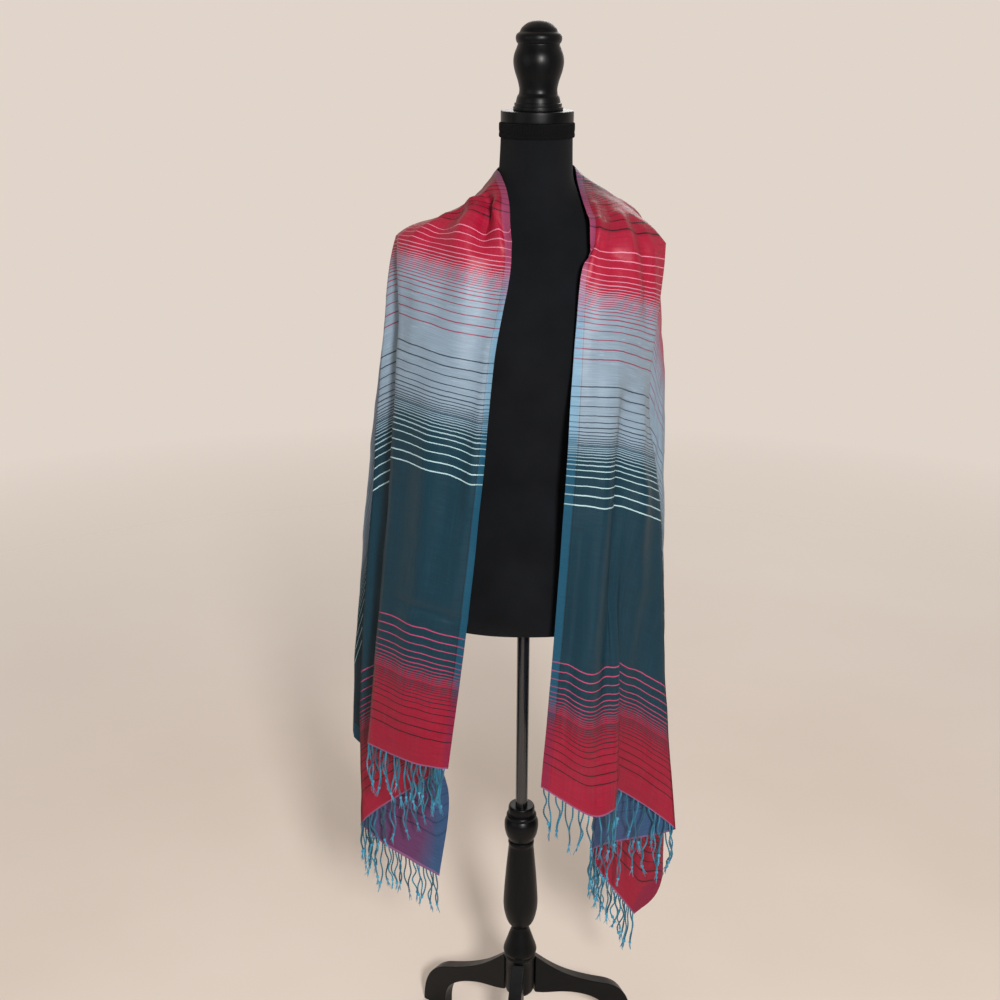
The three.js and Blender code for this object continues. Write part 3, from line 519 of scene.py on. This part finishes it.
    # the very end of the weave, where only the warp runs on
    rim = t.math("LESS_THAN", t.math("SUBTRACT", HALF, t.math("ABSOLUTE", sm)), 2.4)
    color = t.mix(t.math("MULTIPLY", rim, 0.8), color, linear(128, 84, 122))
    n = t.nodes.new("ShaderNodeVectorMath")
    n.operation = "SCALE"
    t.put(n.inputs[0], color)
    t.put(n.inputs["Scale"], shade)
    t.to("Base Color", n.outputs[0])
    # plain weave and the little puckers between its lines
    wefts = t.math("SINE", t.math("MULTIPLY", sm, 2 * math.pi / 0.62))
    warps = t.math("SINE", t.math("MULTIPLY", vm, 2 * math.pi / 0.55))
    weave = t.math("ADD", t.math("MULTIPLY", wefts, 0.5), t.math("MULTIPLY", warps, 0.5))
    pucker = t.noise(t.vector(t.math("MULTIPLY", s, 120.0), t.math("MULTIPLY", v, 46.0)), 1.0, 3.0)
    normal = t.bump(weave, 0.16, 0.0002)
    normal = t.bump(t.math("ADD", pucker, t.math("MULTIPLY", line, 0.2)), 0.3, 0.0016, normal)
    t.to("Normal", normal)
    t.to("Roughness", t.math("ADD", t.math("MULTIPLY", slub, 0.14), 0.38))
    return t.mat


cloth_face = cloth_material("shawl_face", BANDS, 12.5, False)
cloth_reverse = cloth_material("shawl_reverse", REVERSE_BANDS, 12.5, True)


def strand_material():
    t = Tree("fringe_strands", Roughness=0.55, Specular_IOR_Level=0.35, Sheen_Weight=0.15, Sheen_Roughness=0.5)
    u, w, _ = t.split(t.uv())
    tone = t.noise(t.vector(t.math("MULTIPLY", w, 31.7), t.math("MULTIPLY", u, 30.0)), 1.0, 2.0)
    # painted shade: the twisted strands get a darker teal than the loose ends, as they look in shade
    color = t.ramp(tone, [(0.3, linear(14, 70, 90)), (0.5, linear(22, 104, 132)), (0.72, linear(44, 138, 166))])
    # some ends are spun darker
    dark = t.ramp(t.noise(t.vector(t.math("MULTIPLY", w, 17.0), 0.0), 1.0, 0.0), [(0.5, 0.0), (0.62, 0.7)])
    color = t.mix(dark, color, linear(16, 50, 58))
    # loose ends past the knots carry a number over 1, and get a lighter teal than the strands, whose darker teal is
    # painted shade
    loose = t.math("GREATER_THAN", w, 1.5)
    color = t.mix(loose, color, t.ramp(tone, [(0.3, linear(28, 112, 150)), (0.7, linear(66, 166, 200))]))
    t.to("Base Color", color)
    grain = t.math("SINE", t.math("ADD", t.math("MULTIPLY", u, 5200.0), t.math("MULTIPLY", w, 40.0)))
    t.to("Normal", t.bump(grain, 0.35, 0.0002))
    return t.mat


strands_paint = strand_material()


def jersey_material():
    t = Tree("black_jersey", Roughness=0.95, Specular_IOR_Level=0.12, Sheen_Weight=0.02, Sheen_Roughness=0.6)
    at = t.place()
    x, y, z = t.split(at)
    cloud = t.noise(at, 14.0, 4.0)
    lint = t.ramp(t.noise(at, 900.0, 1.0), [(0.70, 0.0), (0.78, 1.0)])
    color = t.ramp(cloud, [(0.3, linear(8, 10, 13)), (0.7, linear(16, 18, 22))])
    t.to("Base Color", t.mix(t.math("MULTIPLY", lint, 0.12), color, linear(42, 44, 50)))
    ribs = t.math("SINE", t.math("MULTIPLY", t.math("ARCTAN2", y, x), 520.0))
    rows = t.math("SINE", t.math("MULTIPLY", z, 2 * math.pi / 0.0011))
    knit = t.bump(t.math("MULTIPLY", ribs, rows), 0.35, 0.0003)
    t.to("Normal", t.bump(cloud, 0.2, 0.002, knit))
    return t.mat


def braid_material():
    t = Tree("black_braid", Roughness=0.8, Specular_IOR_Level=0.12, Sheen_Weight=0.0)
    at = t.place()
    x, y, z = t.split(at)
    cord = t.math("SINE", t.math("ADD", t.math("MULTIPLY", t.math("ARCTAN2", y, x), 260.0), t.math("MULTIPLY", z, 3000.0)))
    t.to("Base Color", t.ramp(cord, [(0.0, linear(3, 3, 4)), (1.0, linear(13, 14, 17))]))
    t.to("Normal", t.bump(cord, 0.6, 0.0005))
    return t.mat


def lacquer_material(name, stretch):
    t = Tree(name, Roughness=0.34, Specular_IOR_Level=0.14, Coat_Weight=0.03, Coat_Roughness=0.3)
    at = t.place()
    x, y, z = t.split(at)
    grain = t.noise(t.vector(t.math("MULTIPLY", x, stretch[0]), t.math("MULTIPLY", y, stretch[1]), t.math("MULTIPLY", z, stretch[2])), 1.0, 5.0, 0.6)
    worn = t.noise(at, 55.0, 4.0)
    t.to("Base Color", t.ramp(t.math("ADD", t.math("MULTIPLY", grain, 0.7), t.math("MULTIPLY", worn, 0.3)),
                              [(0.35, linear(4, 5, 6)), (0.62, linear(9, 10, 12)), (0.8, linear(20, 21, 24))]))
    t.to("Roughness", t.math("ADD", t.math("MULTIPLY", worn, 0.22), 0.26))
    t.to("Normal", t.bump(grain, 0.16, 0.0006))
    return t.mat


def tube_material():
    t = Tree("black_tube", Roughness=0.3, Metallic=0.0, Specular_IOR_Level=0.6, Coat_Weight=0.4, Coat_Roughness=0.12)
    at = t.place()
    x, y, z = t.split(at)
    rub = t.noise(t.vector(t.math("MULTIPLY", x, 300.0), t.math("MULTIPLY", y, 300.0), t.math("MULTIPLY", z, 8.0)), 1.0, 4.0)
    t.to("Base Color", t.ramp(rub, [(0.4, linear(12, 12, 14)), (0.75, linear(34, 34, 38))]))
    t.to("Roughness", t.math("ADD", t.math("MULTIPLY", rub, 0.2), 0.16))
    t.to("Normal", t.bump(rub, 0.06, 0.0004))
    return t.mat


jersey = jersey_material()
braid = braid_material()
lacquer = lacquer_material("black_lacquer", (180.0, 180.0, 12.0))
leg_lacquer = lacquer_material("black_lacquer_legs", (60.0, 60.0, 160.0))
tube = tube_material()

# ---------------------------------------------------------------- the shawl
table = np.array([row[3:] for row in FOLDS], float)  # line, level, xyzsv
creases = [row[1] for row in FOLDS]
tips = np.array([row[2] for row in FOLDS])[:, None]
grid = hermite(np.moveaxis(table, 1, 0), [0.0, 0.0, 0.0, tips, 0.0, 0.0, 0.0, 0.0], STEPS_DOWN)  # down, line, xyzsv
grid = hermite(np.moveaxis(grid, 1, 0), creases, STEPS_ACROSS)  # across, down, xyzsv
P, SV = off_the_form(grid[..., :3], 2.5), grid[..., 3:]
SV[..., 1] = np.clip(SV[..., 1], 0, WIDE)
SV[..., 0] = np.clip(SV[..., 0], -HALF, HALF)


def unit(a):
    return a / np.maximum(np.linalg.norm(a, axis=-1, keepdims=True), 1e-9)


def surface_normals(p):
    """Square to the line down the cloth, and halfway between the facets on either side."""
    down = unit(np.gradient(p, axis=1))
    step = np.diff(p, axis=0)
    before = np.concatenate([step[:1], step])
    after = np.concatenate([step, step[-1:]])
    square = lambda a: unit(a - (a * down).sum(-1, keepdims=True) * down)
    return unit(np.cross(unit(square(before) + square(after)), down))


def noise_field(s, v, cell_s, cell_v, seed):
    """Smooth random heights from -1 to 1 on the cloth."""
    table_r = np.random.default_rng(seed).uniform(-1, 1, (64, 64))
    a, b = s / cell_s + 500.0, v / cell_v + 500.0
    i, j = np.floor(a).astype(int), np.floor(b).astype(int)
    f, g = a - i, b - j
    f, g = f * f * (3 - 2 * f), g * g * (3 - 2 * g)
    at = lambda m, n: table_r[m % 64, n % 64]
    return (at(i, j) * (1 - f) * (1 - g) + at(i + 1, j) * f * (1 - g)
            + at(i, j + 1) * (1 - f) * g + at(i + 1, j + 1) * f * g)


def crease_field(s, v):
    out = np.zeros_like(s)
    for s0, v0, s1, v1, wide, deep in CREASES:
        ds, dv = s1 - s0, v1 - v0
        t = ((s - s0) * ds + (v - v0) * dv) / (ds * ds + dv * dv)
        tc = np.clip(t, 0, 1)
        dist = np.hypot(s - s0 - tc * ds, v - v0 - tc * dv)
        out += deep * bell(dist / wide) * np.sin(np.pi * (0.12 + 0.76 * tc)) ** 0.8
    return out


n0 = surface_normals(P)
relief = crease_field(SV[..., 0], SV[..., 1])
relief += 1.1 * noise_field(SV[..., 0], SV[..., 1], 60.0, 26.0, 3)
relief += 0.45 * noise_field(SV[..., 0], SV[..., 1], 24.0, 13.0, 5)
# the gap from each fold line to the next, measured but not used
room = np.linalg.norm(np.diff(grid[..., :3], axis=0), axis=-1)
P = off_the_form(P + n0 * relief[..., None], 3.2)
N = surface_normals(P)
wide_n, down_n = P.shape[:2]


def shawl_mesh():
    count = wide_n * down_n
    ids = np.arange(count).reshape(wide_n, down_n)
    front, back = (P + N * THICK / 2).reshape(-1, 3), (P - N * THICK / 2).reshape(-1, 3)
    a, b, c, d = ids[:-1, :-1], ids[:-1, 1:], ids[1:, 1:], ids[1:, :-1]
    face = np.stack([a, d, c, b], -1).reshape(-1, 4)
    rear = np.stack([a, b, c, d], -1).reshape(-1, 4) + count
    rim = []
    for line, flip in ((ids[:, 0], True), (ids[:, -1], False), (ids[0, :], False), (ids[-1, :], True)):
        p, q = line[:-1], line[1:]
        quad = np.stack([p, q, q + count, p + count], -1)
        rim.append(quad[:, ::-1] if flip else quad)
    rim = np.concatenate(rim)
    faces = np.concatenate([face, rear, rim])
    slots = np.concatenate([np.zeros(len(face)), np.ones(len(rear)), np.zeros(len(rim))])
    points = np.concatenate([front, back])
    corner = [N.reshape(-1, 3)[face.ravel()], -N.reshape(-1, 3)[(rear - count).ravel()]]
    q = points[rim]
    flat = unit(np.cross(q[:, 1] - q[:, 0], q[:, 2] - q[:, 0]))
    corner.append(np.repeat(flat, 4, 0))
    uv = np.tile(SV.reshape(-1, 2) * MM, (2, 1))
    return make_object("shawl", points, faces, [cloth_face, cloth_reverse], slots, True, uv,
                       np.concatenate(corner).tolist())


shawl = shawl_mesh()
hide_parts("shawl_front_left", "shawl_side_left", "shawl_tail_left", "shawl_back",
            "shawl_tail_right", "shawl_side_right", "shawl_front_right")
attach(shawl, "root")

# ---------------------------------------------------------------- the fringe
SPACING = 8.8  # mm of cloth from one twisted strand to the next
PLY = 0.84  # radius of one of a strand's two plies
TWIST = 7.5  # mm of strand for a turn
STRAND_STEPS, STRAND_SIDES = 34, 5
index_of = np.concatenate([[0], np.cumsum(STEPS_ACROSS)])


class Bundle:
    """Points and faces of many small solids, joined."""

    def __init__(self):
        self.points, self.faces, self.uv, self.count = [], [], [], 0

    def add(self, rings, key):
        """rings: (n, sides, 3); closed with a cap at each end."""
        n, sides = rings.shape[:2]
        ids = np.arange(n * sides).reshape(n, sides) + self.count
        nxt = np.roll(ids, -1, axis=1)
        quads = np.stack([ids[:-1], nxt[:-1], nxt[1:], ids[1:]], -1).reshape(-1, 4)
        self.faces += quads.tolist() + [ids[0][::-1].tolist(), ids[-1].tolist()]
        self.points.append(rings.reshape(-1, 3))
        step = np.concatenate([[0], np.cumsum(np.linalg.norm(np.diff(rings.mean(1), axis=0), axis=1))]) * MM
        self.uv.append(np.stack([np.repeat(step, sides), np.full(n * sides, key)], -1))
        self.count += n * sides

    def make(self, name, material):
        return make_object(name, np.concatenate(self.points), self.faces, [material], uv=np.concatenate(self.uv))


def frames_along(path):
    t = unit(np.gradient(path, axis=0))
    ref = np.array([0.31, 0.95, 0.05])
    e1 = unit(np.cross(t, ref))
    return t, e1, np.cross(t, e1)


def tube_rings(path, radius, sides, phase=0.0):
    _, e1, e2 = frames_along(path)
    w = np.arange(sides) / sides * 2 * math.pi + phase
    r = np.asarray(radius).reshape(-1, 1, 1) if np.ndim(radius) else radius
    return path[:, None] + r * (np.cos(w)[None, :, None] * e1[:, None] + np.sin(w)[None, :, None] * e2[:, None])


def twisted(bundle, path, key):
    """Two plies wound round a path."""
    _, e1, e2 = frames_along(path)
    run = np.concatenate([[0], np.cumsum(np.linalg.norm(np.diff(path, axis=0), axis=1))])
    for ply in (0, 1):
        w = run / TWIST * 2 * math.pi + ply * math.pi + key * 9
        centre = path + 0.62 * (np.cos(w)[:, None] * e1 + np.sin(w)[:, None] * e2)
        bundle.add(tube_rings(centre, PLY, STRAND_SIDES), key)


def knot_and_tuft(bundle, at, heading, key):
    """A hard little knot and the loose ends below it."""
    heading = unit(heading)
    n = 7
    t = np.linspace(0, 1, n)
    size = rng.uniform(1.9, 2.6)
    path = at + heading * ((t - 0.4) * size * 2.4)[:, None]
    bundle.add(tube_rings(path, size * np.sin(np.pi * (0.06 + 0.88 * t)) ** 0.6, 8), 1.6 + key * 0.4)
    for _ in range(8):
        side = unit(rng.normal(size=3))
        length = rng.uniform(7, 15)
        t = np.linspace(0, 1, 4)
        path = at + heading * (size * 0.6 + t * length)[:, None] + side * (t ** 1.4 * length * rng.uniform(0.1, 0.38))[:, None]
        path[:, 2] -= t ** 2 * 1.2
        bundle.add(tube_rings(path, 0.56 * (1 - 0.45 * t), 4), 1.6 + key * 0.4)


def hem_point(v, j_side, i0, i1):
    """Middle of the hem at the place v across the cloth, and which way the cloth hangs there."""
    vs = SV[i0:i1 + 1, -1, 1]
    order = np.argsort(vs)
    k = np.interp(v, vs[order], (np.arange(i0, i1 + 1))[order])
    i, f = int(min(k, wide_n - 2)), k - int(min(k, wide_n - 2))
    at = P[i, -1] * (1 - f) + P[i + 1, -1] * f
    up = P[i, -5] * (1 - f) + P[i + 1, -5] * f
    along = unit(P[i + 1, -1] - P[i, -1])
    return at, unit(at - up), along, N[i, -1]


def hang(at, down, along, out, length, sway, lean_to, key):
    """A strand's path: on from the cloth, then straight down, with its own slow curls."""
    t = np.linspace(0, 1, STRAND_STEPS)
    turn = np.clip(t * length / 14.0, 0, 1)[:, None]
    heading = unit(down * (1 - turn) + np.array([0, 0, -1.0]) * turn)
    step = length / (STRAND_STEPS - 1)
    path = at + np.concatenate([np.zeros((1, 3)), np.cumsum(heading[:-1] * step, axis=0)])
    level = unit(along * np.array([1, 1, 0]))
    f1, f2 = rng.uniform(0.7, 1.5, 2)
    p1, p2 = rng.uniform(0, 2 * math.pi, 2)
    ease = np.clip(t * 2.2, 0, 1)
    path += level * (ease * sway * (np.sin(2 * math.pi * f1 * t + p1) - math.sin(p1)))[:, None]
    path += out * (ease * 0.5 * sway * (np.sin(2 * math.pi * f2 * t + p2) - math.sin(p2)))[:, None]
    path += level * (lean_to * t ** 1.4)[:, None]
    return path


def fringe(name, v_from, v_to, from_line, to_line):
    i0, i1 = sorted((index_of[LINE[from_line]], index_of[LINE[to_line]]))
    bundle = Bundle()
    count = max(2, int(round(abs(v_to - v_from) / SPACING)))
    count += count % 2
    places = v_from + (np.arange(count) + 0.5) / count * (v_to - v_from)
    for k in range(0, count, 2):
        pair, length = [], rng.uniform(52, 72)
        roots = [hem_point(places[k + m] + rng.uniform(-2.2, 2.2), 0, i0, i1) for m in (0, 1)]
        apart = roots[1][0] - roots[0][0]
        joined = rng.random() < 0.8
        for m, (at, down, along, out) in enumerate(roots):
            level = unit(along * np.array([1, 1, 0]))
            reach = float((apart * level).sum()) / 2 * (1 if m == 0 else -1) if joined else rng.uniform(-4, 4)
            far = length + (apart[2] / 2 * (1 if m else -1) if joined else rng.uniform(-6, 6))
            key = rng.random()
            path = hang(at - down * 0.6, down, along, out, far, rng.uniform(1.2, 4.0), reach, key)
            pair.append((path, key))
        if joined:
            # both run into one knot
            meet = (pair[0][0][-1] + pair[1][0][-1]) / 2
            t = np.linspace(0, 1, STRAND_STEPS)[:, None] ** 2.2
            for m in (0, 1):
                path, key = pair[m]
                path = path + t * (meet - path[-1])
                twisted(bundle, path, key)
            knot_and_tuft(bundle, meet, path[-1] - path[-3], pair[0][1])
        else:
            for path, key in pair:
                twisted(bundle, path, key)
                knot_and_tuft(bundle, path[-1], path[-1] - path[-3], key)
    obj = bundle.make(name + "_strands", strands_paint)
    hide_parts(name)
    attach(obj, "root")
    return obj


def hem_v(line):
    return FOLDS[LINE[line]][-1][4]


fringes = [
    fringe("fringe_front_left", 2, hem_v("left_edge") - 3, "left_opening", "left_edge"),
    fringe("fringe_side_left", hem_v("left_edge") + 3, 657, "left_edge", "left_corner"),
    fringe("fringe_side_right", hem_v("right_edge") + 3, 657, "right_edge", "right_corner"),
    fringe("fringe_front_right", 2, hem_v("right_edge") - 3, "right_opening", "right_edge"),
]

# ---------------------------------------------------------------- the form
rings, around = 150, 144
z = np.concatenate([np.linspace(815, 819, 7), np.linspace(821, 1518.2, rings - 9), [1518.8, 1519.0]])
half, front, back, power = monotone(FORM, z)
shrink = np.ones(len(z))
shrink[-2:] = (0.985, 0.96)
w = np.arange(around) / around * 2 * math.pi
c, s_ = np.cos(w), np.sin(w)
body = np.stack([
    np.sign(c) * half[:, None] * shrink[:, None] * np.abs(c) ** (2 / power[:, None]) + lean(z)[:, None],
    np.sign(s_) * np.where(s_ < 0, front[:, None], back[:, None]) * shrink[:, None] * np.abs(s_) ** (2 / power[:, None]),
    np.repeat(z[:, None], around, 1),
], -1)
torso = make_object("form_body", body.reshape(-1, 3), ring_faces(len(z), around), [jersey])
torso.data.set_sharp_from_angle(angle=math.radians(50))
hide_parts("form_torso")
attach(torso, "root")

TRIM = [(48.8, 1500), (49.6, 1500), (50.1, 1501.4), (50.2, 1503.4), (49.9, 1505.2), (49.7, 1506.4), (49.9, 1507.6),
        (50.2, 1510), (50.2, 1514), (50.1, 1517), (49.6, 1518.4), (48.8, 1518.4)]
PLATE = [(0, 1519.3), (47.4, 1519.3), (48.1, 1519.6), (48.4, 1520.3), (48.4, 1532.7), (48.1, 1533.4), (47.4, 1533.7),
         (0, 1533.7)]
FINIAL = [(0, 1534), (32.6, 1534), (33, 1534.4), (33, 1538.2), (32.6, 1538.6), (31.4, 1539), (31.4, 1543),
          (31, 1543.4), (29.6, 1544), (28, 1551), (26, 1554.4), (25.2, 1557.5), (25.2, 1562), (27.2, 1571),
          (31.2, 1583), (33.2, 1594), (32.2, 1604), (29.2, 1612), (27.6, 1616.4), (27.7, 1617.4), (29.2, 1619.4),
          (30.3, 1624), (29.4, 1628.4), (26.6, 1631), (25.2, 1632), (22.4, 1637), (15.6, 1642.5), (8, 1645.3),
          (0, 1646)]
COLLAR = [(9.6, 413), (17.5, 413), (20.8, 416.5), (24.6, 425), (26.8, 437), (26.4, 447), (24.4, 452), (22.9, 454.4),
          (22.8, 455.2), (23.6, 457), (23.4, 459.4), (21.8, 461.4), (20.1, 462.6), (20.1, 463.4), (20.8, 466),
          (20.6, 472), (19.8, 474.8), (18.6, 476), (9.6, 476)]
COLUMN = [(0, 248.3), (12.6, 248.3), (13.4, 248.6), (16.5, 252), (21.5, 260), (25.4, 273), (27.8, 292), (26.8, 318),
          (24.6, 349), (21.8, 381), (19.8, 403), (20.5, 407), (20.6, 410), (19.6, 412.7), (0, 412.7)]
HUB = [(0, 118), (14, 118), (19, 119.4), (22.4, 123), (23.4, 129), (23.4, 187), (24.8, 188.4), (25.6, 191),
       (25.6, 194), (24.8, 196.2), (25, 197), (26.4, 198.8), (27.2, 202), (27, 205), (25.6, 210), (21.6, 222),
       (17.8, 234), (14.6, 243), (13.6, 247.6), (13, 248), (0, 248)]


def loops_of_braid(w, z, r):
    side = np.where(z > 1506, 1.0, -1.0)
    bead = np.abs(np.sin(40 * w + np.where(side > 0, 0.0, np.pi / 2)))
    return np.where(r > 49.5, 0.7 * bead - 0.4, 0.0)


pieces = [
    (turned("neck_braid", TRIM, braid, lean(1506), 416, 2, True, loops_of_braid), "neck_trim", "trim"),
    (turned("neck_disc", PLATE, lacquer, lean(1526)), "neck_plate", "wood"),
    (turned("urn_finial", FINIAL, lacquer, lean(1590)), "finial", "wood"),
    (turned("steel_pole", [(0, 414), (9.2, 414), (9.5, 414.4), (9.5, 874.4), (9.2, 874.7), (0, 874.7)], tube, 0.0, 64), "pole", "steel"),
    (turned("ball_collar", COLLAR, lacquer, 0.0, 96, 3, True), "collar", "wood"),
    (turned("turned_column", COLUMN, lacquer), "column", "wood"),
    (turned("base_hub", HUB, lacquer), "hub", "wood"),
]
for obj, node, slot in pieces:
    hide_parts(node)
    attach(obj, "root")

# ---------------------------------------------------------------- the legs
ROOT, REACH, FOOT, BOARD = 23.8, 206.0, 48.0, 21.0
#    each row: two handles and the end of one curve of the leg's outline; mm out from the pole, and up
LEG = [
    ((34, 176), (58, 150), (84, 132)),
    ((104, 118), (130, 104), (152, 94)),
    ((180, 82), (REACH, 60), (REACH, 0)),
    ((REACH - 16, 0), (REACH - 32, 0), (REACH - FOOT, 0)),
    ((REACH - FOOT, 30), (REACH - FOOT, 52), (130, 72)),
    ((112, 86), (84, 98), (60, 103)),
    ((46, 106), (34, 109), (ROOT, 114)),
]


def leg(name, turn):
    outline, p0 = [], np.array([ROOT, 186.0])
    for h1, h2, p3 in LEG:
        h1, h2, p3 = map(np.array, (h1, h2, p3))
        n = 14 if abs(p3[1] - p0[1]) > 1 and abs(p3[0] - p0[0]) > 1 else 2
        for t in np.arange(n) / n:
            outline.append(p0 * (1 - t) ** 3 + 3 * h1 * t * (1 - t) ** 2 + 3 * h2 * t * t * (1 - t) + p3 * t ** 3)
        p0 = p3
    outline.append(p0)
    o = np.array(outline, float)
    n = len(o)
    pts = np.concatenate([np.stack([o[:, 0], np.full(n, y), o[:, 1]], -1) for y in (-BOARD / 2, BOARD / 2)])
    faces = [tuple(range(n)), tuple(reversed(range(n, 2 * n)))]
    faces += [((i + 1) % n, i, i + n, (i + 1) % n + n) for i in range(n)]
    a = math.radians(turn)
    pts = np.stack([pts[:, 0] * math.cos(a) - pts[:, 1] * math.sin(a),
                    pts[:, 0] * math.sin(a) + pts[:, 1] * math.cos(a), pts[:, 2]], -1)
    obj = make_object(name + "_board", pts, faces, [leg_lacquer])
    bm = bmesh.new()
    bm.from_mesh(obj.data)
    bmesh.ops.recalc_face_normals(bm, faces=bm.faces)
    bm.to_mesh(obj.data)
    bm.free()
    round_ = obj.modifiers.new("rounding", "BEVEL")
    round_.width, round_.segments, round_.limit_method, round_.angle_limit = 0.0024, 3, "ANGLE", math.radians(50)
    round_.harden_normals = True
    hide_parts(name)
    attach(obj, "root")


for name, turn in (("leg_front", -98.5), ("leg_right", 21.5), ("leg_left", 141.5)):
    leg(name, turn)

# ---------------------------------------------------------------- floor, light and camera
def floor_material():
    t = Tree("pale_floor", Roughness=0.9, Specular_IOR_Level=0.1)
    cloud = t.noise(t.place(), 1.5, 3.0)
    t.to("Base Color", t.ramp(cloud, [(0.3, linear(214, 204, 194)), (0.7, linear(220, 211, 202))]))
    # far off it fades into the plain pale surround
    nodes, links = t.mat.node_tree.nodes, t.mat.node_tree.links
    out = next(n for n in nodes if n.type == "OUTPUT_MATERIAL")
    reach = nodes.new("ShaderNodeVectorMath")
    reach.operation = "LENGTH"
    links.new(t.place(), reach.inputs[0])
    fade = t.ramp(t.math("DIVIDE", reach.outputs["Value"], 9.0, clamp=True), [(0.1, 0.0), (0.42, 1.0)])
    clear, blend = nodes.new("ShaderNodeBsdfTransparent"), nodes.new("ShaderNodeMixShader")
    links.new(fade, blend.inputs[0])
    links.new(t.bsdf.outputs[0], blend.inputs[1])
    links.new(clear.outputs[0], blend.inputs[2])
    links.new(blend.outputs[0], out.inputs["Surface"])
    return t.mat


bpy.ops.mesh.primitive_circle_add(vertices=64, radius=9.0, fill_type="NGON", location=(0, 0, -0.0005))
floor = bpy.context.object
floor.name = "floor"
floor.data.materials.append(floor_material())

world = bpy.data.worlds.new("studio")
bpy.context.scene.world = world
world.use_nodes = True
sky = world.node_tree.nodes.new("ShaderNodeTexCoord")
split = world.node_tree.nodes.new("ShaderNodeSeparateXYZ")
world.node_tree.links.new(sky.outputs["Generated"], split.inputs[0])
grade = world.node_tree.nodes.new("ShaderNodeMapRange")
for socket, value in (("From Min", -0.6), ("From Max", 0.5), ("To Min", 0.2), ("To Max", 0.84)):
    grade.inputs[socket].default_value = value
world.node_tree.links.new(split.outputs["Y"], grade.inputs["Value"])
world.node_tree.nodes["Background"].inputs[0].default_value = linear(243, 230, 219)
world.node_tree.links.new(grade.outputs[0], world.node_tree.nodes["Background"].inputs[1])
bpy.context.scene.view_settings.view_transform = "Standard"


def lamp(name, place, at, size, power, color=(1, 1, 1)):
    data = bpy.data.lights.new(name, "AREA")
    data.shape, data.size, data.energy, data.color = "DISK", size, power, color
    obj = bpy.data.objects.new(name, data)
    obj.location = place
    obj.rotation_euler = (Vector(at) - Vector(place)).to_track_quat("-Z", "Y").to_euler()
    bpy.context.scene.collection.objects.link(obj)
    return obj


lamp("key", (0.5, -2.5, 2.1), (0.0, 0.0, 1.05), 0.4, 90, (1.0, 0.97, 0.95))
lamp("fill", (-2.6, -1.8, 1.8), (0.0, 0.0, 0.9), 2.0, 12, (0.94, 0.97, 1.0))
lamp("back", (0.6, 2.8, 2.4), (0.0, 0.0, 1.0), 1.8, 24)

cam = bpy.data.cameras.new("camera")
cam.sensor_width, cam.lens = 36.0, 1350 / 1000 * 36
cam.clip_start, cam.clip_end = 0.05, 60
camera = bpy.data.objects.new("camera", cam)
pitch, roll = math.radians(19.7), math.radians(0.263)
camera.matrix_world = (Matrix.Translation(Vector((-0.0364, -1.85, 1.65)) + Vector(AXIS))
                       @ Euler((math.pi / 2 - pitch, 0, 0)).to_matrix().to_4x4()
                       @ Matrix.Rotation(roll, 4, "Z"))
bpy.context.scene.collection.objects.link(camera)
bpy.context.scene.camera = camera
